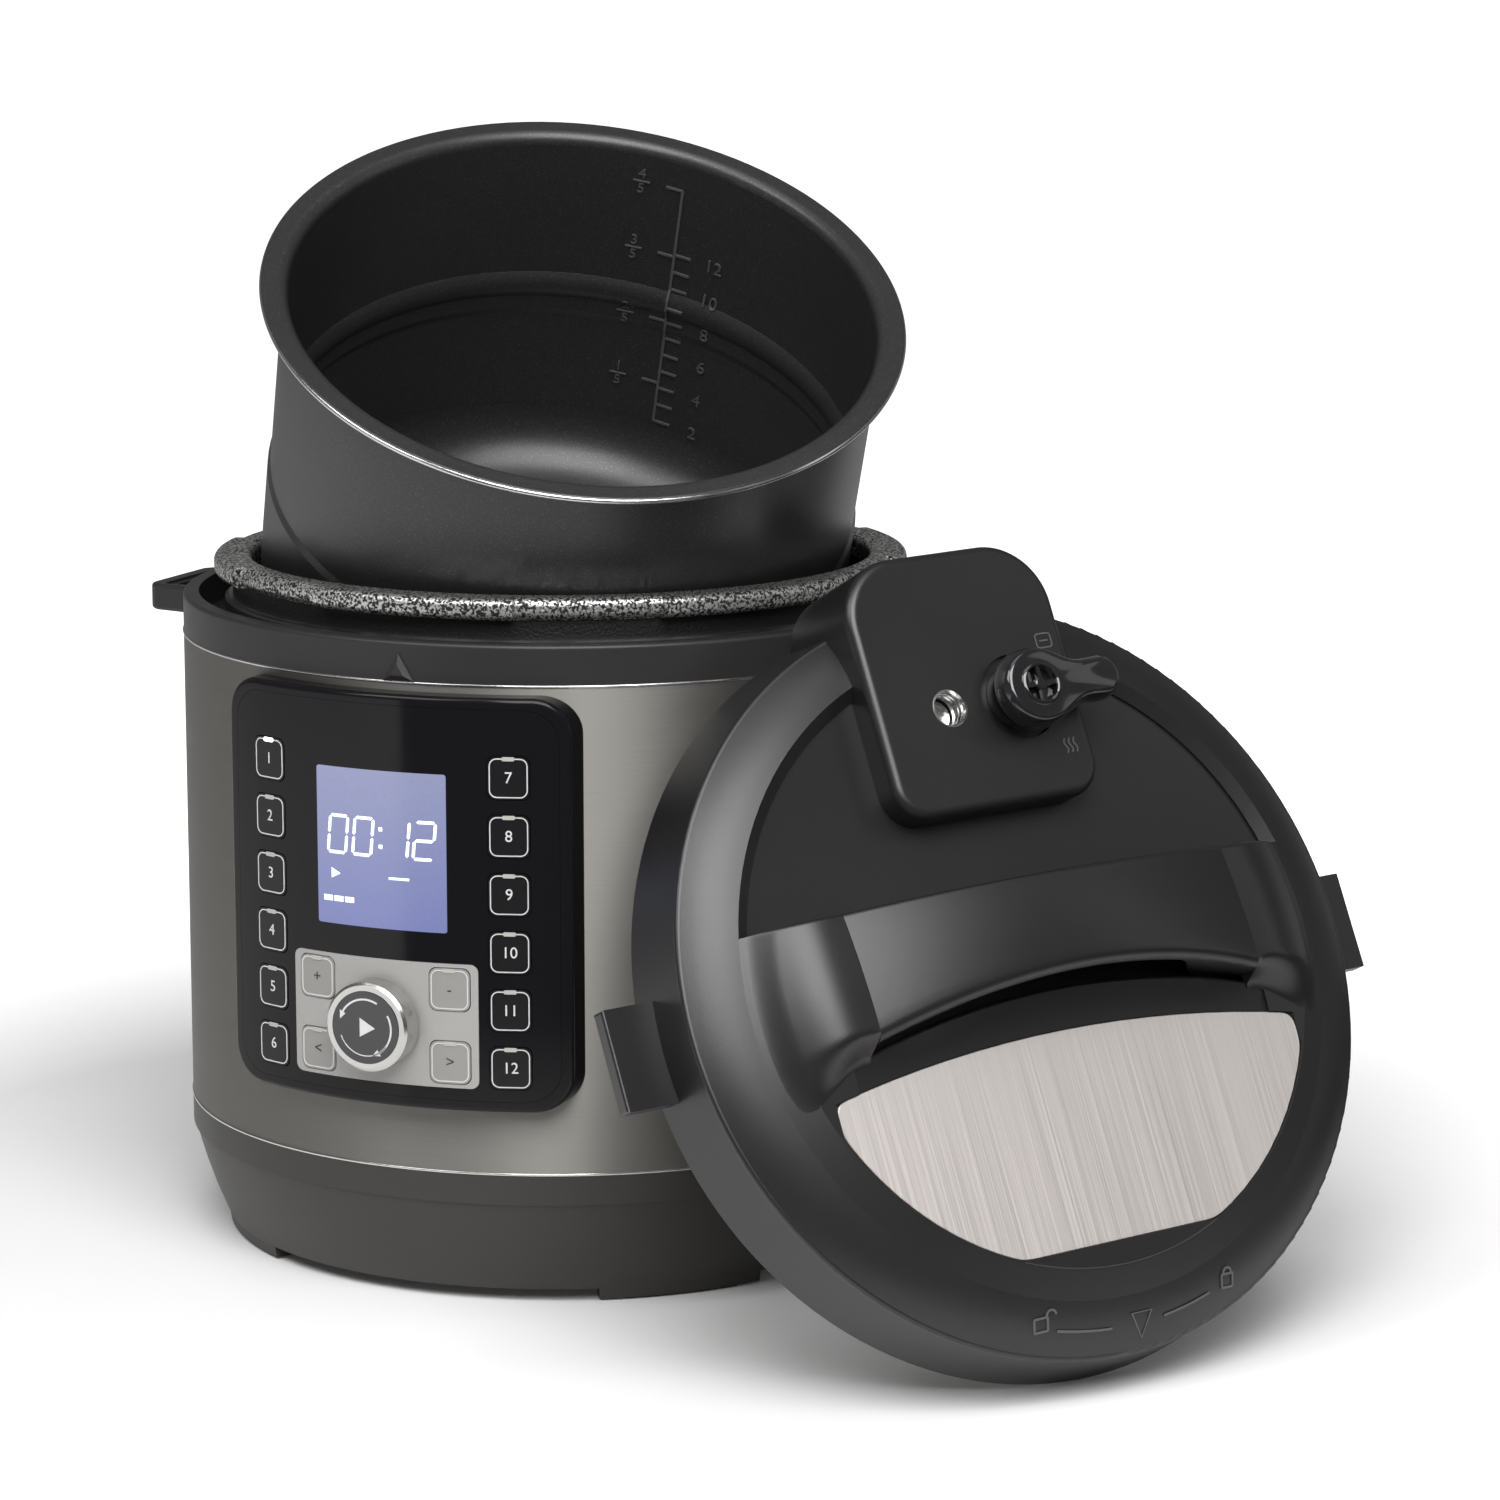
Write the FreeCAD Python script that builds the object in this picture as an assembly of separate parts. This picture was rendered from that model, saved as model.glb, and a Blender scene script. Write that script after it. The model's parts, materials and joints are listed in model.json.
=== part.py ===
import FreeCAD, Part
import math
import os

# Electric pressure cooker with its pot lifted out and its lid taken off.
# Millimetres and degrees. The base stands on Z = 0 with its axis on Z, and
# its control panel faces -Y. The lid and the pot are drawn in frames of their
# own and then set down where they rest.

V = FreeCAD.Vector
ORIGIN = V(0, 0, 0)
X = V(1, 0, 0)
Z = V(0, 0, 1)
ROOT_HALF = math.sqrt(0.5)

# Clearances
seat_gap = 0.1
slide_gap = 0.3
bore_gap = 0.08

# Base shell
body_radius = 145.0
band_bottom = 51.5
band_top = 233.0
band_thickness = 0.8
lip_height = 11.0
lip_step = 0.8
floor_radius = 132.0
skirt_bulge = 1.0
edge_height = 5.0
housing_wall = 2.8
spigot_height = 6.0

# Feet and bottom cover
foot_depth = 9.0
foot_angle = 28.0
foot_clear = 0.8
pad_width = 5.6
pad_height = 3.0
pad_angle = 20.0
foot_count = 4
cover_thickness = 2.5
cover_lift = 1.0
ledge_width = 6.0
ledge_height = 5.0
vent_count = 16
vent_width = 3.5
vent_length = 24.0
vent_radius = 84.0
screw_head_radius = 3.0
screw_head_height = 1.6
screw_radius = 1.4
screw_count = 4

# Collar, channel and carrying handles
collar_height = 14.5
collar_lip = 6.0
collar_edge = 1.5
channel_depth = 11.5
channel_width = 10.0
collar_floor = 3.0
curb_rise = 9.0
marker_height = 10.3
marker_width = 12.4
marker_rise = 0.6
marker_arc = 4.8
handle_reach = 25.0
handle_root_width = 66.0
handle_tip_width = 50.0
handle_thickness = 10.5
handle_top = 241.0
handle_corner = 7.0
handle_edge = 1.5
park_slot_width = 9.0
park_slot_length = 39.0
park_slot_depth = 7.5
park_slot_reach = 11.0
tray_margin = 3.0
tray_depth = 1.0

# Heating well and bayonet ring
well_margin = 26.5
well_wall = 1.2
well_flange = 9.0
ring_top = 262.0
ring_thickness = 8.0
ring_neck = 7.5
ring_root = 11.0
ring_lug = 3.5
ring_edge = 3.0
lug_count = 6
lug_angle = 36.0

# Heating plate, element and sensor
plate_margin = 20.5
plate_thickness = 10.0
plate_edge = 3.0
plate_stand = 17.0
post_radius = 5.0
post_inset = 20.0
post_count = 3
element_radius = 56.0
element_width = 8.0
element_height = 4.5
terminal_radius = 2.5
terminal_length = 26.0
terminal_gap = 24.0
sensor_radius = 12.0
sensor_proud = 2.0
sensor_skirt = 8.0
sensor_stem = 4.0
sensor_travel = 4.0
guide_radius = 15.0
guide_wall = 1.6
guide_depth = 14.0
guide_floor = 2.5
spring_radius = 7.0
spring_wire = 0.7
spring_turns = 5
spring_sides = 12

# Power board and inlet
board_length = 96.0
board_width = 62.0
board_thickness = 1.6
board_part_height = 18.0
board_lift = 12.0
board_post_radius = 3.5
inlet_width = 30.0
inlet_height = 21.0
inlet_depth = 24.0
inlet_level = 27.0
inlet_proud = 1.0
socket_width = 24.0
socket_height = 15.0
socket_depth = 16.0
socket_pin_length = 11.5
socket_pin_pitch = 7.0

# Condensation cup
cup_width = 58.0
cup_depth = 18.0
cup_height = 42.0
cup_wall = 1.8
cup_flange = 3.5
cup_flange_thickness = 2.5
rail_thickness = 2.7
rail_top = 230.0
rail_plate = 5.0

# Control panel, measured round the curved face
panel_stand = 8.5
panel_width = 139.0
panel_height = 152.2
panel_level = 153.4
panel_corner = 14.0
panel_border = 4.0
panel_ledge = 3.0
face_thickness = 2.0
bezel_edge = 2.0
window_width = 88.0
window_height = 104.0
sheet_thickness = 1.6
lcd_width = 52.2
lcd_height = 58.0
lcd_level = 172.2
lcd_corner = 1.0
lcd_frame = 2.0
key_width = 15.2
key_height = 15.6
key_corner = 3.0
key_proud = 0.3
key_flange = 0.9
key_flange_thickness = 1.0
key_travel = 0.6
key_arc = 49.3
key_top_level = 200.8
key_pitch = 21.35
key_rows = 6
stud_radius = 3.5
grey_width = 74.6
grey_height = 46.0
grey_level = 109.0
grey_corner = 3.0
grey_proud = 0.2
grey_key_arc = 27.0
grey_key_pitch = 27.0

# Dial
dial_radius = 16.5
dial_length = 10.5
dial_wall = 3.0
dial_travel = 1.0
dial_face = 1.5
dial_edge = 1.0
shaft_radius = 3.0
shaft_grip = 5.0
encoder_radius = 8.0

# Cooking pot, drawn with its rim plane at Z = 0
pot_rim_over = 2.0
pot_rim_thickness = 2.2
pot_lip = 4.5
pot_room = 6.5
pot_belly = 1.0
pot_step = 82.0
pot_step_length = 3.0
pot_wall = 2.0
pot_depth = 156.0
pot_corner = 26.0
pot_tilt = 30.2
pot_azimuth = -52.8

# Lid, drawn with the top edge of its skirt at Z = 0
lid_inset = 5.0
lid_draft = 2.8
lid_skirt = 28.3
lid_skirt_wall = 2.0
shoulder_edge = 1.4
platform_margin = 26.5
bevel_width = 4.5
bevel_top = 9.5
bevel_bottom = 7.0
platform_level = 6.0
crown_margin = 32.0
crown_edge = 13.5
crown_top = 17.0
ceiling = 2.5
ceiling_margin = 30.0
ridge_line = 29.0
lid_right = 87.4
lid_near = 34.9
lid_azimuth = -35.9
lid_elevation = 25.9
lid_spin = 2.5

# Lid grip
grip_inset = 21.0
grip_front = -17.0
grip_top = 31.0
grip_end_height = 26.0
grip_fall = 4.0
grip_round = 6.0
grip_skin = 6.0
grip_back_wall = 13.0
grip_end_block = 17.0
grip_floor = 8.0
trough_front = -32.0
ramp_over = 4.0
ramp_foot = 8.0

# Lid plate
plate_floor = 12.6
label_thickness = 0.8
label_inset = 1.0
label_back = -23.5
label_back_side = -33.5
label_side_inset = 10.0
label_chord_inset = 8.0

# Steam box
box_half = 43.0
box_length = 95.0
box_over = 12.0
box_top = 18.5
box_bottom = -25.0
box_corner = 13.0
box_back_corner = 24.0
box_edge = 3.5

# Lid fins
fin_length = 18.0
fin_width = 36.0
fin_top = -17.6
fin_thickness = 6.6

# Inner lid, seal, rack and shield
inner_lid_top = -2.0
inner_lid_sheet = 2.0
inner_lid_inset = 4.8
inner_lid_wall = 1.4
inner_lid_depth = 23.0
tooth_reach = 2.8
tooth_height = 6.0
tooth_angle = 22.0
lid_post_radius = 5.0
lid_post_circle = 66.0
lid_screw_head = 4.0
seal_under = 1.0
seal_width = 9.5
seal_height = 10.0
seal_wall = 2.6
rack_wire = 1.3
shield_radius = 14.0
shield_height = 11.0
shield_wall = 1.2
shield_slots = 8

# Valves in the lid
valve_x = 17.5
valve_inset = 44.7
pipe_radius = 5.0
pipe_bore = 2.2
pipe_top = 25.0
valve_well_radius = 15.6
valve_well_depth = 2.5
knob_skirt_radius = 12.0
knob_radius = 13.6
knob_waist = 27.0
knob_top = 35.0
knob_dish = 1.5
lever_reach = 33.0
lever_neck = 5.5
lever_tip = 7.5
lever_thickness = 6.0
float_x = -12.0
float_inset = 45.0
float_hole_radius = 7.0
float_radius = 4.2
float_head_radius = 5.5
float_head = 4.0
float_tail = 18.0
float_seal_radius = 8.0
float_seal_height = 4.0

# Sizes that follow from the driving dimensions
well_radius = body_radius - well_margin
plate_radius = well_radius - plate_margin
post_circle = plate_radius - post_inset
face_radius = body_radius + panel_stand
pot_rim_radius = well_radius + pot_rim_over
pot_wall_radius = well_radius - pot_room
lid_rim_radius = body_radius - lid_inset
lid_shoulder_radius = lid_rim_radius - lid_draft
platform_radius = lid_rim_radius - platform_margin
crown_radius = lid_rim_radius - crown_margin
ceiling_radius = lid_rim_radius - ceiling_margin
lid_center_x = body_radius + lid_right
lid_center_y = lid_near - body_radius
grip_half = crown_radius - grip_inset
ramp_end = crown_radius + ramp_over
label_circle = crown_radius - label_inset
label_half_width = label_circle - label_side_inset
label_chord = label_chord_inset - label_circle
box_back = lid_rim_radius + box_over
box_front = box_back - box_length
fin_reach = lid_rim_radius + fin_length
inner_lid_radius = lid_rim_radius - inner_lid_inset
seal_inner = pot_rim_radius - seal_under
seal_outer = seal_inner + seal_width
valve_y = lid_rim_radius - valve_inset
float_y = lid_rim_radius - float_inset
collar_top = band_top + collar_height
spigot_radius = body_radius - band_thickness - seat_gap
curb_radius = body_radius - collar_lip - channel_width
flange_level = collar_top - channel_depth + curb_rise
neck_level = flange_level + well_wall
ring_bottom = ring_top - ring_thickness
plate_top = ring_top + 1.0 - pot_depth
well_floor = plate_top - plate_stand
cover_bottom = edge_height + cover_lift
cover_top = cover_bottom + cover_thickness
cover_radius = floor_radius - foot_depth - slide_gap
screw_circle = cover_radius - screw_head_radius - slide_gap
board_level = cover_top + board_lift
face_back = face_radius - face_thickness
key_back = face_back - slide_gap - key_flange_thickness
sheet_top = body_radius + seat_gap + sheet_thickness
pot_belly_radius = pot_wall_radius + pot_belly
ring_inner = well_radius
dial_back = face_radius + grey_proud + dial_travel + slide_gap
inner_lid_under = inner_lid_top - inner_lid_sheet


def edges_through(points, lift):
    """Edges of a closed outline. A step of four numbers is an arc: a point on it, then its end."""
    edges = []
    here = points[0]
    for step in points[1:] + [points[0]]:
        end = step[-2:]
        if len(step) == 4:
            edges.append(Part.Arc(lift(*here), lift(*step[:2]), lift(*end)).toShape())
        elif end != here:
            edges.append(Part.LineSegment(lift(*here), lift(*end)).toShape())
        here = end
    return edges


def face_of(points, lift):
    """Flat face inside a closed outline."""
    return Part.Face(Part.Wire(edges_through(points, lift)))


def turned(points, angle=360.0, start=0.0):
    """Solid of revolution about Z from an outline of radius and height."""
    solid = face_of(points, lambda r, z: V(r, 0, z)).revolve(ORIGIN, Z, angle)
    return spun(solid, start)


def spun(shape, angle):
    """Copy of a shape turned about Z."""
    copy = shape.copy()
    copy.rotate(ORIGIN, Z, angle)
    return copy


def tube(outer, inner, bottom, top):
    """Ring of rectangular section about Z."""
    return turned([(inner, bottom), (outer, bottom), (outer, top), (inner, top)])


def sector(outer, inner, bottom, top, middle, width):
    """Part of a ring, centred on an angle."""
    block = [(inner, bottom), (outer, bottom), (outer, top), (inner, top)]
    return turned(block, width, middle - width / 2)


def rod(radius, bottom, top, x=0.0, y=0.0):
    """Upright cylinder."""
    return Part.makeCylinder(radius, top - bottom, V(x, y, bottom))


def plan_prism(points, bottom, top):
    """Outline in plan, raised from bottom to top."""
    return face_of(points, lambda x, y: V(x, y, bottom)).extrude(V(0, 0, top - bottom))


def front_prism(points, start, end):
    """Outline seen from the front, carried along Y."""
    return face_of(points, lambda x, z: V(x, start, z)).extrude(V(0, end - start, 0))


def side_prism(points, start, end):
    """Outline of Y and Z, carried along X."""
    return face_of(points, lambda y, z: V(start, y, z)).extrude(V(end - start, 0, 0))


def rounded(width, height, radius, x=0.0, y=0.0):
    """Rectangle with round corners about a centre."""
    radius = min(radius, 0.48 * width, 0.48 * height)
    left, right = x - width / 2, x + width / 2
    low, high = y - height / 2, y + height / 2
    cut = radius * (1 - ROOT_HALF)
    return [
        (left + radius, low),
        (right - radius, low),
        (right - cut, low + cut, right, low + radius),
        (right, high - radius),
        (right - cut, high - cut, right - radius, high),
        (left + radius, high),
        (left + cut, high - cut, left, high - radius),
        (left, low + radius),
        (left + cut, low + cut, left + radius, low),
    ]


def joined(first, *others):
    """One solid from several that meet."""
    return first.fuse(list(others)).removeSplitter()


def softened(shape, radius, chosen):
    """Round the edges that the test picks."""
    return shape.makeFillet(radius, [edge for edge in shape.Edges if chosen(edge)])


def level_edge(level):
    """Test for edges that lie at one height."""
    def test(edge):
        box = edge.BoundBox
        return abs(box.ZMin - level) < 1e-4 and abs(box.ZMax - level) < 1e-4
    return test


def around(count, make, start=0.0):
    """Shapes made at equal angles."""
    return [make(start + 360.0 * i / count) for i in range(count)]


def on_panel(points, inner, outer, arc=0.0):
    """Piece of a curved sheet about Z with a front outline, turned round by a length of arc."""
    levels = [step[-1] for step in points]
    sheet = tube(outer, inner, min(levels) - 1, max(levels) + 1)
    piece = front_prism(points, -outer - 1, -inner / 2).common(sheet)
    return spun(piece, math.degrees(arc / face_radius))


def lower_housing():
    """Tapered plastic skirt with foot lobes, a ledge for the cover and the inlet's opening."""
    lip_bottom = band_bottom - lip_height
    top_radius = body_radius - lip_step
    middle_level = (lip_bottom + edge_height) / 2
    middle_radius = (top_radius + floor_radius) / 2 + skirt_bulge
    shell = turned([
        (body_radius, band_bottom),
        (body_radius, lip_bottom),
        (top_radius, lip_bottom),
        (middle_radius, middle_level, floor_radius, edge_height),
        (floor_radius - housing_wall, edge_height),
        (middle_radius - housing_wall, middle_level, top_radius - housing_wall, lip_bottom),
        (top_radius - housing_wall, band_bottom + spigot_height),
        (spigot_radius, band_bottom + spigot_height),
        (spigot_radius, band_bottom),
    ])
    filled = turned([
        (0.0, lip_bottom),
        (top_radius, lip_bottom),
        (middle_radius, middle_level, floor_radius, edge_height),
        (floor_radius - housing_wall / 4, foot_clear),
        (0.0, foot_clear),
    ])
    ledge = tube(body_radius, cover_radius - ledge_width, cover_top, cover_top + ledge_height)
    lobe_inner = floor_radius - foot_depth

    def lobe(angle):
        return sector(body_radius, lobe_inner, foot_clear, cover_top, angle, foot_angle).common(filled)

    body = joined(shell, ledge.common(filled), *around(foot_count, lobe, 45.0))
    pocket = foot_pads(seat_gap)
    holes = around(screw_count, lambda a: spun(rod(screw_radius + seat_gap, cover_top - 1,
                                                   cover_top + ledge_height + 1, screw_circle), a))
    return body.cut(pocket + holes + [inlet_block(seat_gap, inlet_depth)])


def foot_pads(grow=0.0):
    """Four rubber pads let into the lobes."""
    middle = floor_radius - (foot_depth + housing_wall / 4) / 2
    half = pad_width / 2 + grow
    swell = math.degrees(2 * grow / middle)

    def pad(angle):
        return sector(middle + half, middle - half, 0.0, pad_height + grow, angle, pad_angle + swell)

    return around(foot_count, pad, 45.0)


def bottom_cover():
    """Disc with radial vents, screw holes and posts for the power board."""
    disc = rod(cover_radius, cover_bottom, cover_top)
    half_x = board_length / 2 - 2 * board_post_radius
    half_y = board_width / 2 - 2 * board_post_radius
    posts = [rod(board_post_radius, cover_bottom, board_level, x, y)
             for x in (-half_x, half_x) for y in (-half_y, half_y)]
    slot = plan_prism(rounded(vent_length, vent_width, vent_width, vent_radius),
                      cover_bottom - 1, cover_top + 1)
    vents = around(vent_count, lambda a: spun(slot, a), 180.0 / vent_count)
    hole = rod(screw_radius + seat_gap, cover_bottom - 1, cover_top + 1, screw_circle)
    holes = around(screw_count, lambda a: spun(hole, a))
    return joined(disc, *posts).cut(vents + holes)


def base_screws():
    """Four screws that hold the bottom cover."""
    head = rod(screw_head_radius, cover_bottom - screw_head_height, cover_bottom, screw_circle)
    shank = rod(screw_radius, cover_bottom, cover_top + ledge_height, screw_circle)
    screw = joined(head, shank)
    return Part.makeCompound(around(screw_count, lambda a: spun(screw, a)))


def steel_band():
    """Brushed steel wrap with a window behind the control panel."""
    band = tube(body_radius, body_radius - band_thickness, band_bottom, band_top)
    window = front_prism(rounded(window_width, window_height, panel_corner, 0, panel_level),
                         -body_radius - 1, -body_radius / 2)
    return band.cut(window)


def collar():
    """Top rim with a condensation channel, a curb for the well and an alignment mark."""
    lip_inner = body_radius - collar_lip
    channel_floor = collar_top - channel_depth
    well_hole = well_radius + well_wall + seat_gap
    curb_inner = curb_radius - collar_floor
    edge = collar_edge * (1 - ROOT_HALF)
    body = turned([
        (body_radius, band_top),
        (body_radius, collar_top - collar_edge),
        (body_radius - edge, collar_top - edge, body_radius - collar_edge, collar_top),
        (lip_inner, collar_top),
        (lip_inner, channel_floor),
        (curb_radius, channel_floor),
        (curb_radius, flange_level),
        (well_hole, flange_level),
        (well_hole, flange_level - collar_floor),
        (curb_inner, flange_level - collar_floor),
        (curb_inner, band_top),
        (spigot_radius - collar_floor, band_top),
        (spigot_radius - collar_floor, band_top - spigot_height),
        (spigot_radius, band_top - spigot_height),
        (spigot_radius, band_top),
    ])
    half = marker_width / 2
    mark = on_panel([(-half, band_top), (half, band_top), (0.0, band_top + marker_height)],
                    body_radius - 1, body_radius + marker_rise, marker_arc)
    return joined(body, mark)


def carrying_handle(turn):
    """Side handle with a slot that parks the lid by its fin."""
    tip = body_radius + handle_reach
    half_root = handle_root_width / 2
    half_tip = handle_tip_width / 2
    corner = handle_corner
    cut = corner * (1 - ROOT_HALF)
    bottom = handle_top - handle_thickness
    outline = [
        (body_radius - handle_reach, -half_root),
        (tip - corner, -half_tip),
        (tip - cut, -half_tip + cut, tip, -half_tip + corner),
        (tip, half_tip - corner),
        (tip - cut, half_tip - cut, tip - corner, half_tip),
        (body_radius - handle_reach, half_root),
    ]
    grip = plan_prism(outline, bottom, handle_top)
    grip = softened(grip, handle_edge, lambda e: e.BoundBox.XMax > body_radius and (
        level_edge(handle_top)(e) or level_edge(bottom)(e)) and e.BoundBox.XMin > 0)
    slot_middle = body_radius + park_slot_reach
    tray = plan_prism(rounded(park_slot_width + 2 * tray_margin, park_slot_length + 2 * tray_margin,
                              tray_margin, slot_middle), handle_top - tray_depth, handle_top + 1)
    slot = plan_prism(rounded(park_slot_width, park_slot_length, 2.0, slot_middle),
                      handle_top - park_slot_depth, handle_top + 1)
    core = rod(body_radius + seat_gap, bottom - 1, handle_top + 1)
    return spun(grip.cut([core, tray, slot]), turn)


def heating_well():
    """Pressed metal well with a flange that hangs on the collar's curb."""
    outer = well_radius + well_wall
    shell = turned([
        (guide_radius, well_floor),
        (outer, well_floor),
        (outer, flange_level),
        (well_radius + well_flange, flange_level),
        (well_radius + well_flange, neck_level),
        (well_radius, neck_level),
        (well_radius, well_floor + well_wall),
        (guide_radius, well_floor + well_wall),
    ])
    holes = [rod(terminal_radius + 1.5, well_floor - 1, well_floor + well_wall + 1, x, y)
             for x, y in terminal_places()]
    return shell.cut(holes)


def bayonet_ring():
    """Cast locking ring with lugs round its rim."""
    rim = ring_inner + ring_root
    round_out = ring_edge * (1 - ROOT_HALF)

    def lip(reach):
        return [
            (ring_inner + ring_edge, ring_bottom),
            (reach - ring_edge, ring_bottom),
            (reach - round_out, ring_bottom + round_out, reach, ring_bottom + ring_edge),
            (reach, ring_top - ring_edge),
            (reach - round_out, ring_top - round_out, reach - ring_edge, ring_top),
            (ring_inner + ring_edge, ring_top),
        ]

    neck = turned([
        (ring_inner, neck_level),
        (ring_inner + ring_neck, neck_level),
        (ring_inner + ring_neck, ring_bottom + 1),
        (ring_inner + ring_edge, ring_bottom + 1),
        (ring_inner + ring_edge, ring_top),
        (ring_inner + round_out, ring_top - round_out, ring_inner, ring_top - ring_edge),
    ])

    def lug(angle):
        return turned(lip(rim + ring_lug), lug_angle, angle - lug_angle / 2)

    return joined(neck, turned(lip(rim)), *around(lug_count, lug, 30.0))


def terminal_places():
    """Where the heating element's two terminals stand."""
    half = terminal_gap / 2
    reach = math.sqrt(element_radius ** 2 - half ** 2)
    return [(-half, reach), (half, reach)]


def heating_plate():
    """Cast disc that the pot stands on, on three posts, with a hole for the sensor."""
    bottom = plate_top - plate_thickness
    hole = sensor_radius + slide_gap
    disc = turned([
        (hole, bottom),
        (plate_radius, bottom),
        (plate_radius, plate_top - plate_edge),
        (plate_radius - plate_edge, plate_top),
        (hole, plate_top),
    ])
    post = rod(post_radius, well_floor + well_wall, bottom + 1, post_circle)
    return joined(disc, *around(post_count, lambda a: spun(post, a), -90.0))


def heating_element():
    """Tubular heater under the plate, with two terminals through the well's floor."""
    top = plate_top - plate_thickness
    half = element_width / 2
    loop = turned([
        (element_radius - half, top),
        (element_radius - half / 2, top - element_height),
        (element_radius + half / 2, top - element_height),
        (element_radius + half, top),
    ])
    legs = [rod(terminal_radius, top - terminal_length, top - element_height / 2, x, y)
            for x, y in terminal_places()]
    return joined(loop, *legs)


def temperature_sensor():
    """Sprung plunger that touches the pot's base."""
    cap_top = plate_top + sensor_proud
    cap_bottom = plate_top - sensor_skirt
    return turned([
        (0.0, sensor_foot()),
        (sensor_stem, sensor_foot()),
        (sensor_stem, cap_bottom),
        (sensor_radius, cap_bottom),
        (sensor_radius, cap_top - 1.0),
        (sensor_radius - 1.0, cap_top),
        (0.0, cap_top),
    ])


def sensor_foot():
    """Level of the sensor stem's lower end."""
    return well_floor - guide_depth - guide_floor - sensor_travel


def sensor_guide():
    """Cup under the well's floor that guides the sensor's stem."""
    bottom = well_floor - guide_depth
    floor = tube(guide_radius, sensor_stem + bore_gap, bottom, bottom + guide_floor)
    wall = tube(guide_radius, guide_radius - guide_wall, bottom, well_floor)
    brim = guide_radius + 4 * guide_wall
    flange = tube(brim, guide_radius - guide_wall, well_floor - guide_wall, well_floor)
    return joined(floor, wall, flange)


def sensor_spring():
    """Coil spring between the guide's floor and the sensor's cap, bent in short straight lengths."""
    low = well_floor - guide_depth + guide_floor + spring_wire
    high = plate_top - sensor_skirt - spring_wire
    steps = spring_turns * spring_sides
    points = []
    for i in range(steps + 1):
        turn = 2 * math.pi * i / spring_sides
        rise = low + (high - low) * i / steps
        points.append(V(spring_radius * math.cos(turn), spring_radius * math.sin(turn), rise))
    path = Part.makePolygon(points)
    heading = points[1] - points[0]
    out = V(1, 0, 0)
    side = heading.cross(out).normalize()
    corners = []
    for i in range(7):
        turn = math.radians(60.0 * i)
        across = out * (spring_wire * math.cos(turn))
        corners.append(points[0] + across + side * (spring_wire * math.sin(turn)))
    return path.makePipeShell([Part.makePolygon(corners)], True, False, 1)


def power_board():
    """Circuit board with a transformer, a relay and capacitors."""
    top = board_level + board_thickness
    board = plan_prism(rounded(board_length, board_width, 3.0), board_level, top)
    cell = board_length / 16
    row = board_width / 12
    tall = board_part_height
    blocks = [
        Part.makeBox(4 * cell, 4 * row, tall, V(-6 * cell, -4 * row, top)),
        Part.makeBox(3 * cell, 3 * row, 0.8 * tall, V(-cell, row, top)),
        rod(cell, top, top + 0.9 * tall, 2 * cell, -3 * row),
        rod(0.8 * cell, top, top + 0.7 * tall, 4.5 * cell, -3 * row),
        Part.makeBox(2 * cell, 4 * row, 0.6 * tall, V(4 * cell, 0, top)),
    ]
    return joined(board, *blocks)


def inlet_block(grow=0.0, ahead=0.0):
    """Outer block of the mains inlet at the back of the skirt, or its opening, which runs ahead of it."""
    front = floor_radius + (body_radius - floor_radius) / 2 + inlet_proud
    outline = rounded(inlet_width + 2 * grow, inlet_height + 2 * grow, 3.0, 0, inlet_level)
    return front_prism(outline, front - inlet_depth - grow, front + ahead)


def power_inlet():
    """Mains inlet with an open socket."""
    front = inlet_block().BoundBox.YMax
    outline = rounded(socket_width, socket_height, 4.0, 0, inlet_level)
    socket = front_prism(outline, front - socket_depth, front + 1)
    flange = front_prism(rounded(inlet_width + 6, inlet_height - 4, 3.0, 0, inlet_level),
                         front - inlet_depth, front - inlet_depth + 3)
    return joined(inlet_block(), flange).cut(socket)


def inlet_pins():
    """Three contact pins inside the inlet."""
    back = inlet_block().BoundBox.YMax - socket_depth
    places = [(-socket_pin_pitch, -1.5), (0.0, 2.0), (socket_pin_pitch, -1.5)]
    pins = [Part.makeBox(2.0, socket_pin_length, 4.0, V(x - 1.0, back, inlet_level + z - 2.0))
            for x, z in places]
    return Part.makeCompound(pins)


def cup_rail():
    """Rail under the collar that the condensation cup slides into."""
    back = body_radius + cup_depth
    inner_half = cup_width / 2 + cup_flange + slide_gap
    half = inner_half + rail_thickness
    plate_bottom = rail_top - rail_plate
    rail_bottom = plate_bottom - cup_flange_thickness - 2 * slide_gap - rail_thickness
    outline = [
        (-half, rail_bottom),
        (-half, rail_top),
        (half, rail_top),
        (half, rail_bottom),
        (inner_half - cup_flange, rail_bottom),
        (inner_half - cup_flange, rail_bottom + rail_thickness),
        (inner_half, rail_bottom + rail_thickness),
        (inner_half, plate_bottom),
        (-inner_half, plate_bottom),
        (-inner_half, rail_bottom + rail_thickness),
        (-inner_half + cup_flange, rail_bottom + rail_thickness),
        (-inner_half + cup_flange, rail_bottom),
    ]
    core = rod(body_radius + seat_gap, rail_bottom - 1, rail_top + 1)
    return front_prism(outline, body_radius / 2, back).cut(core)


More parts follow.
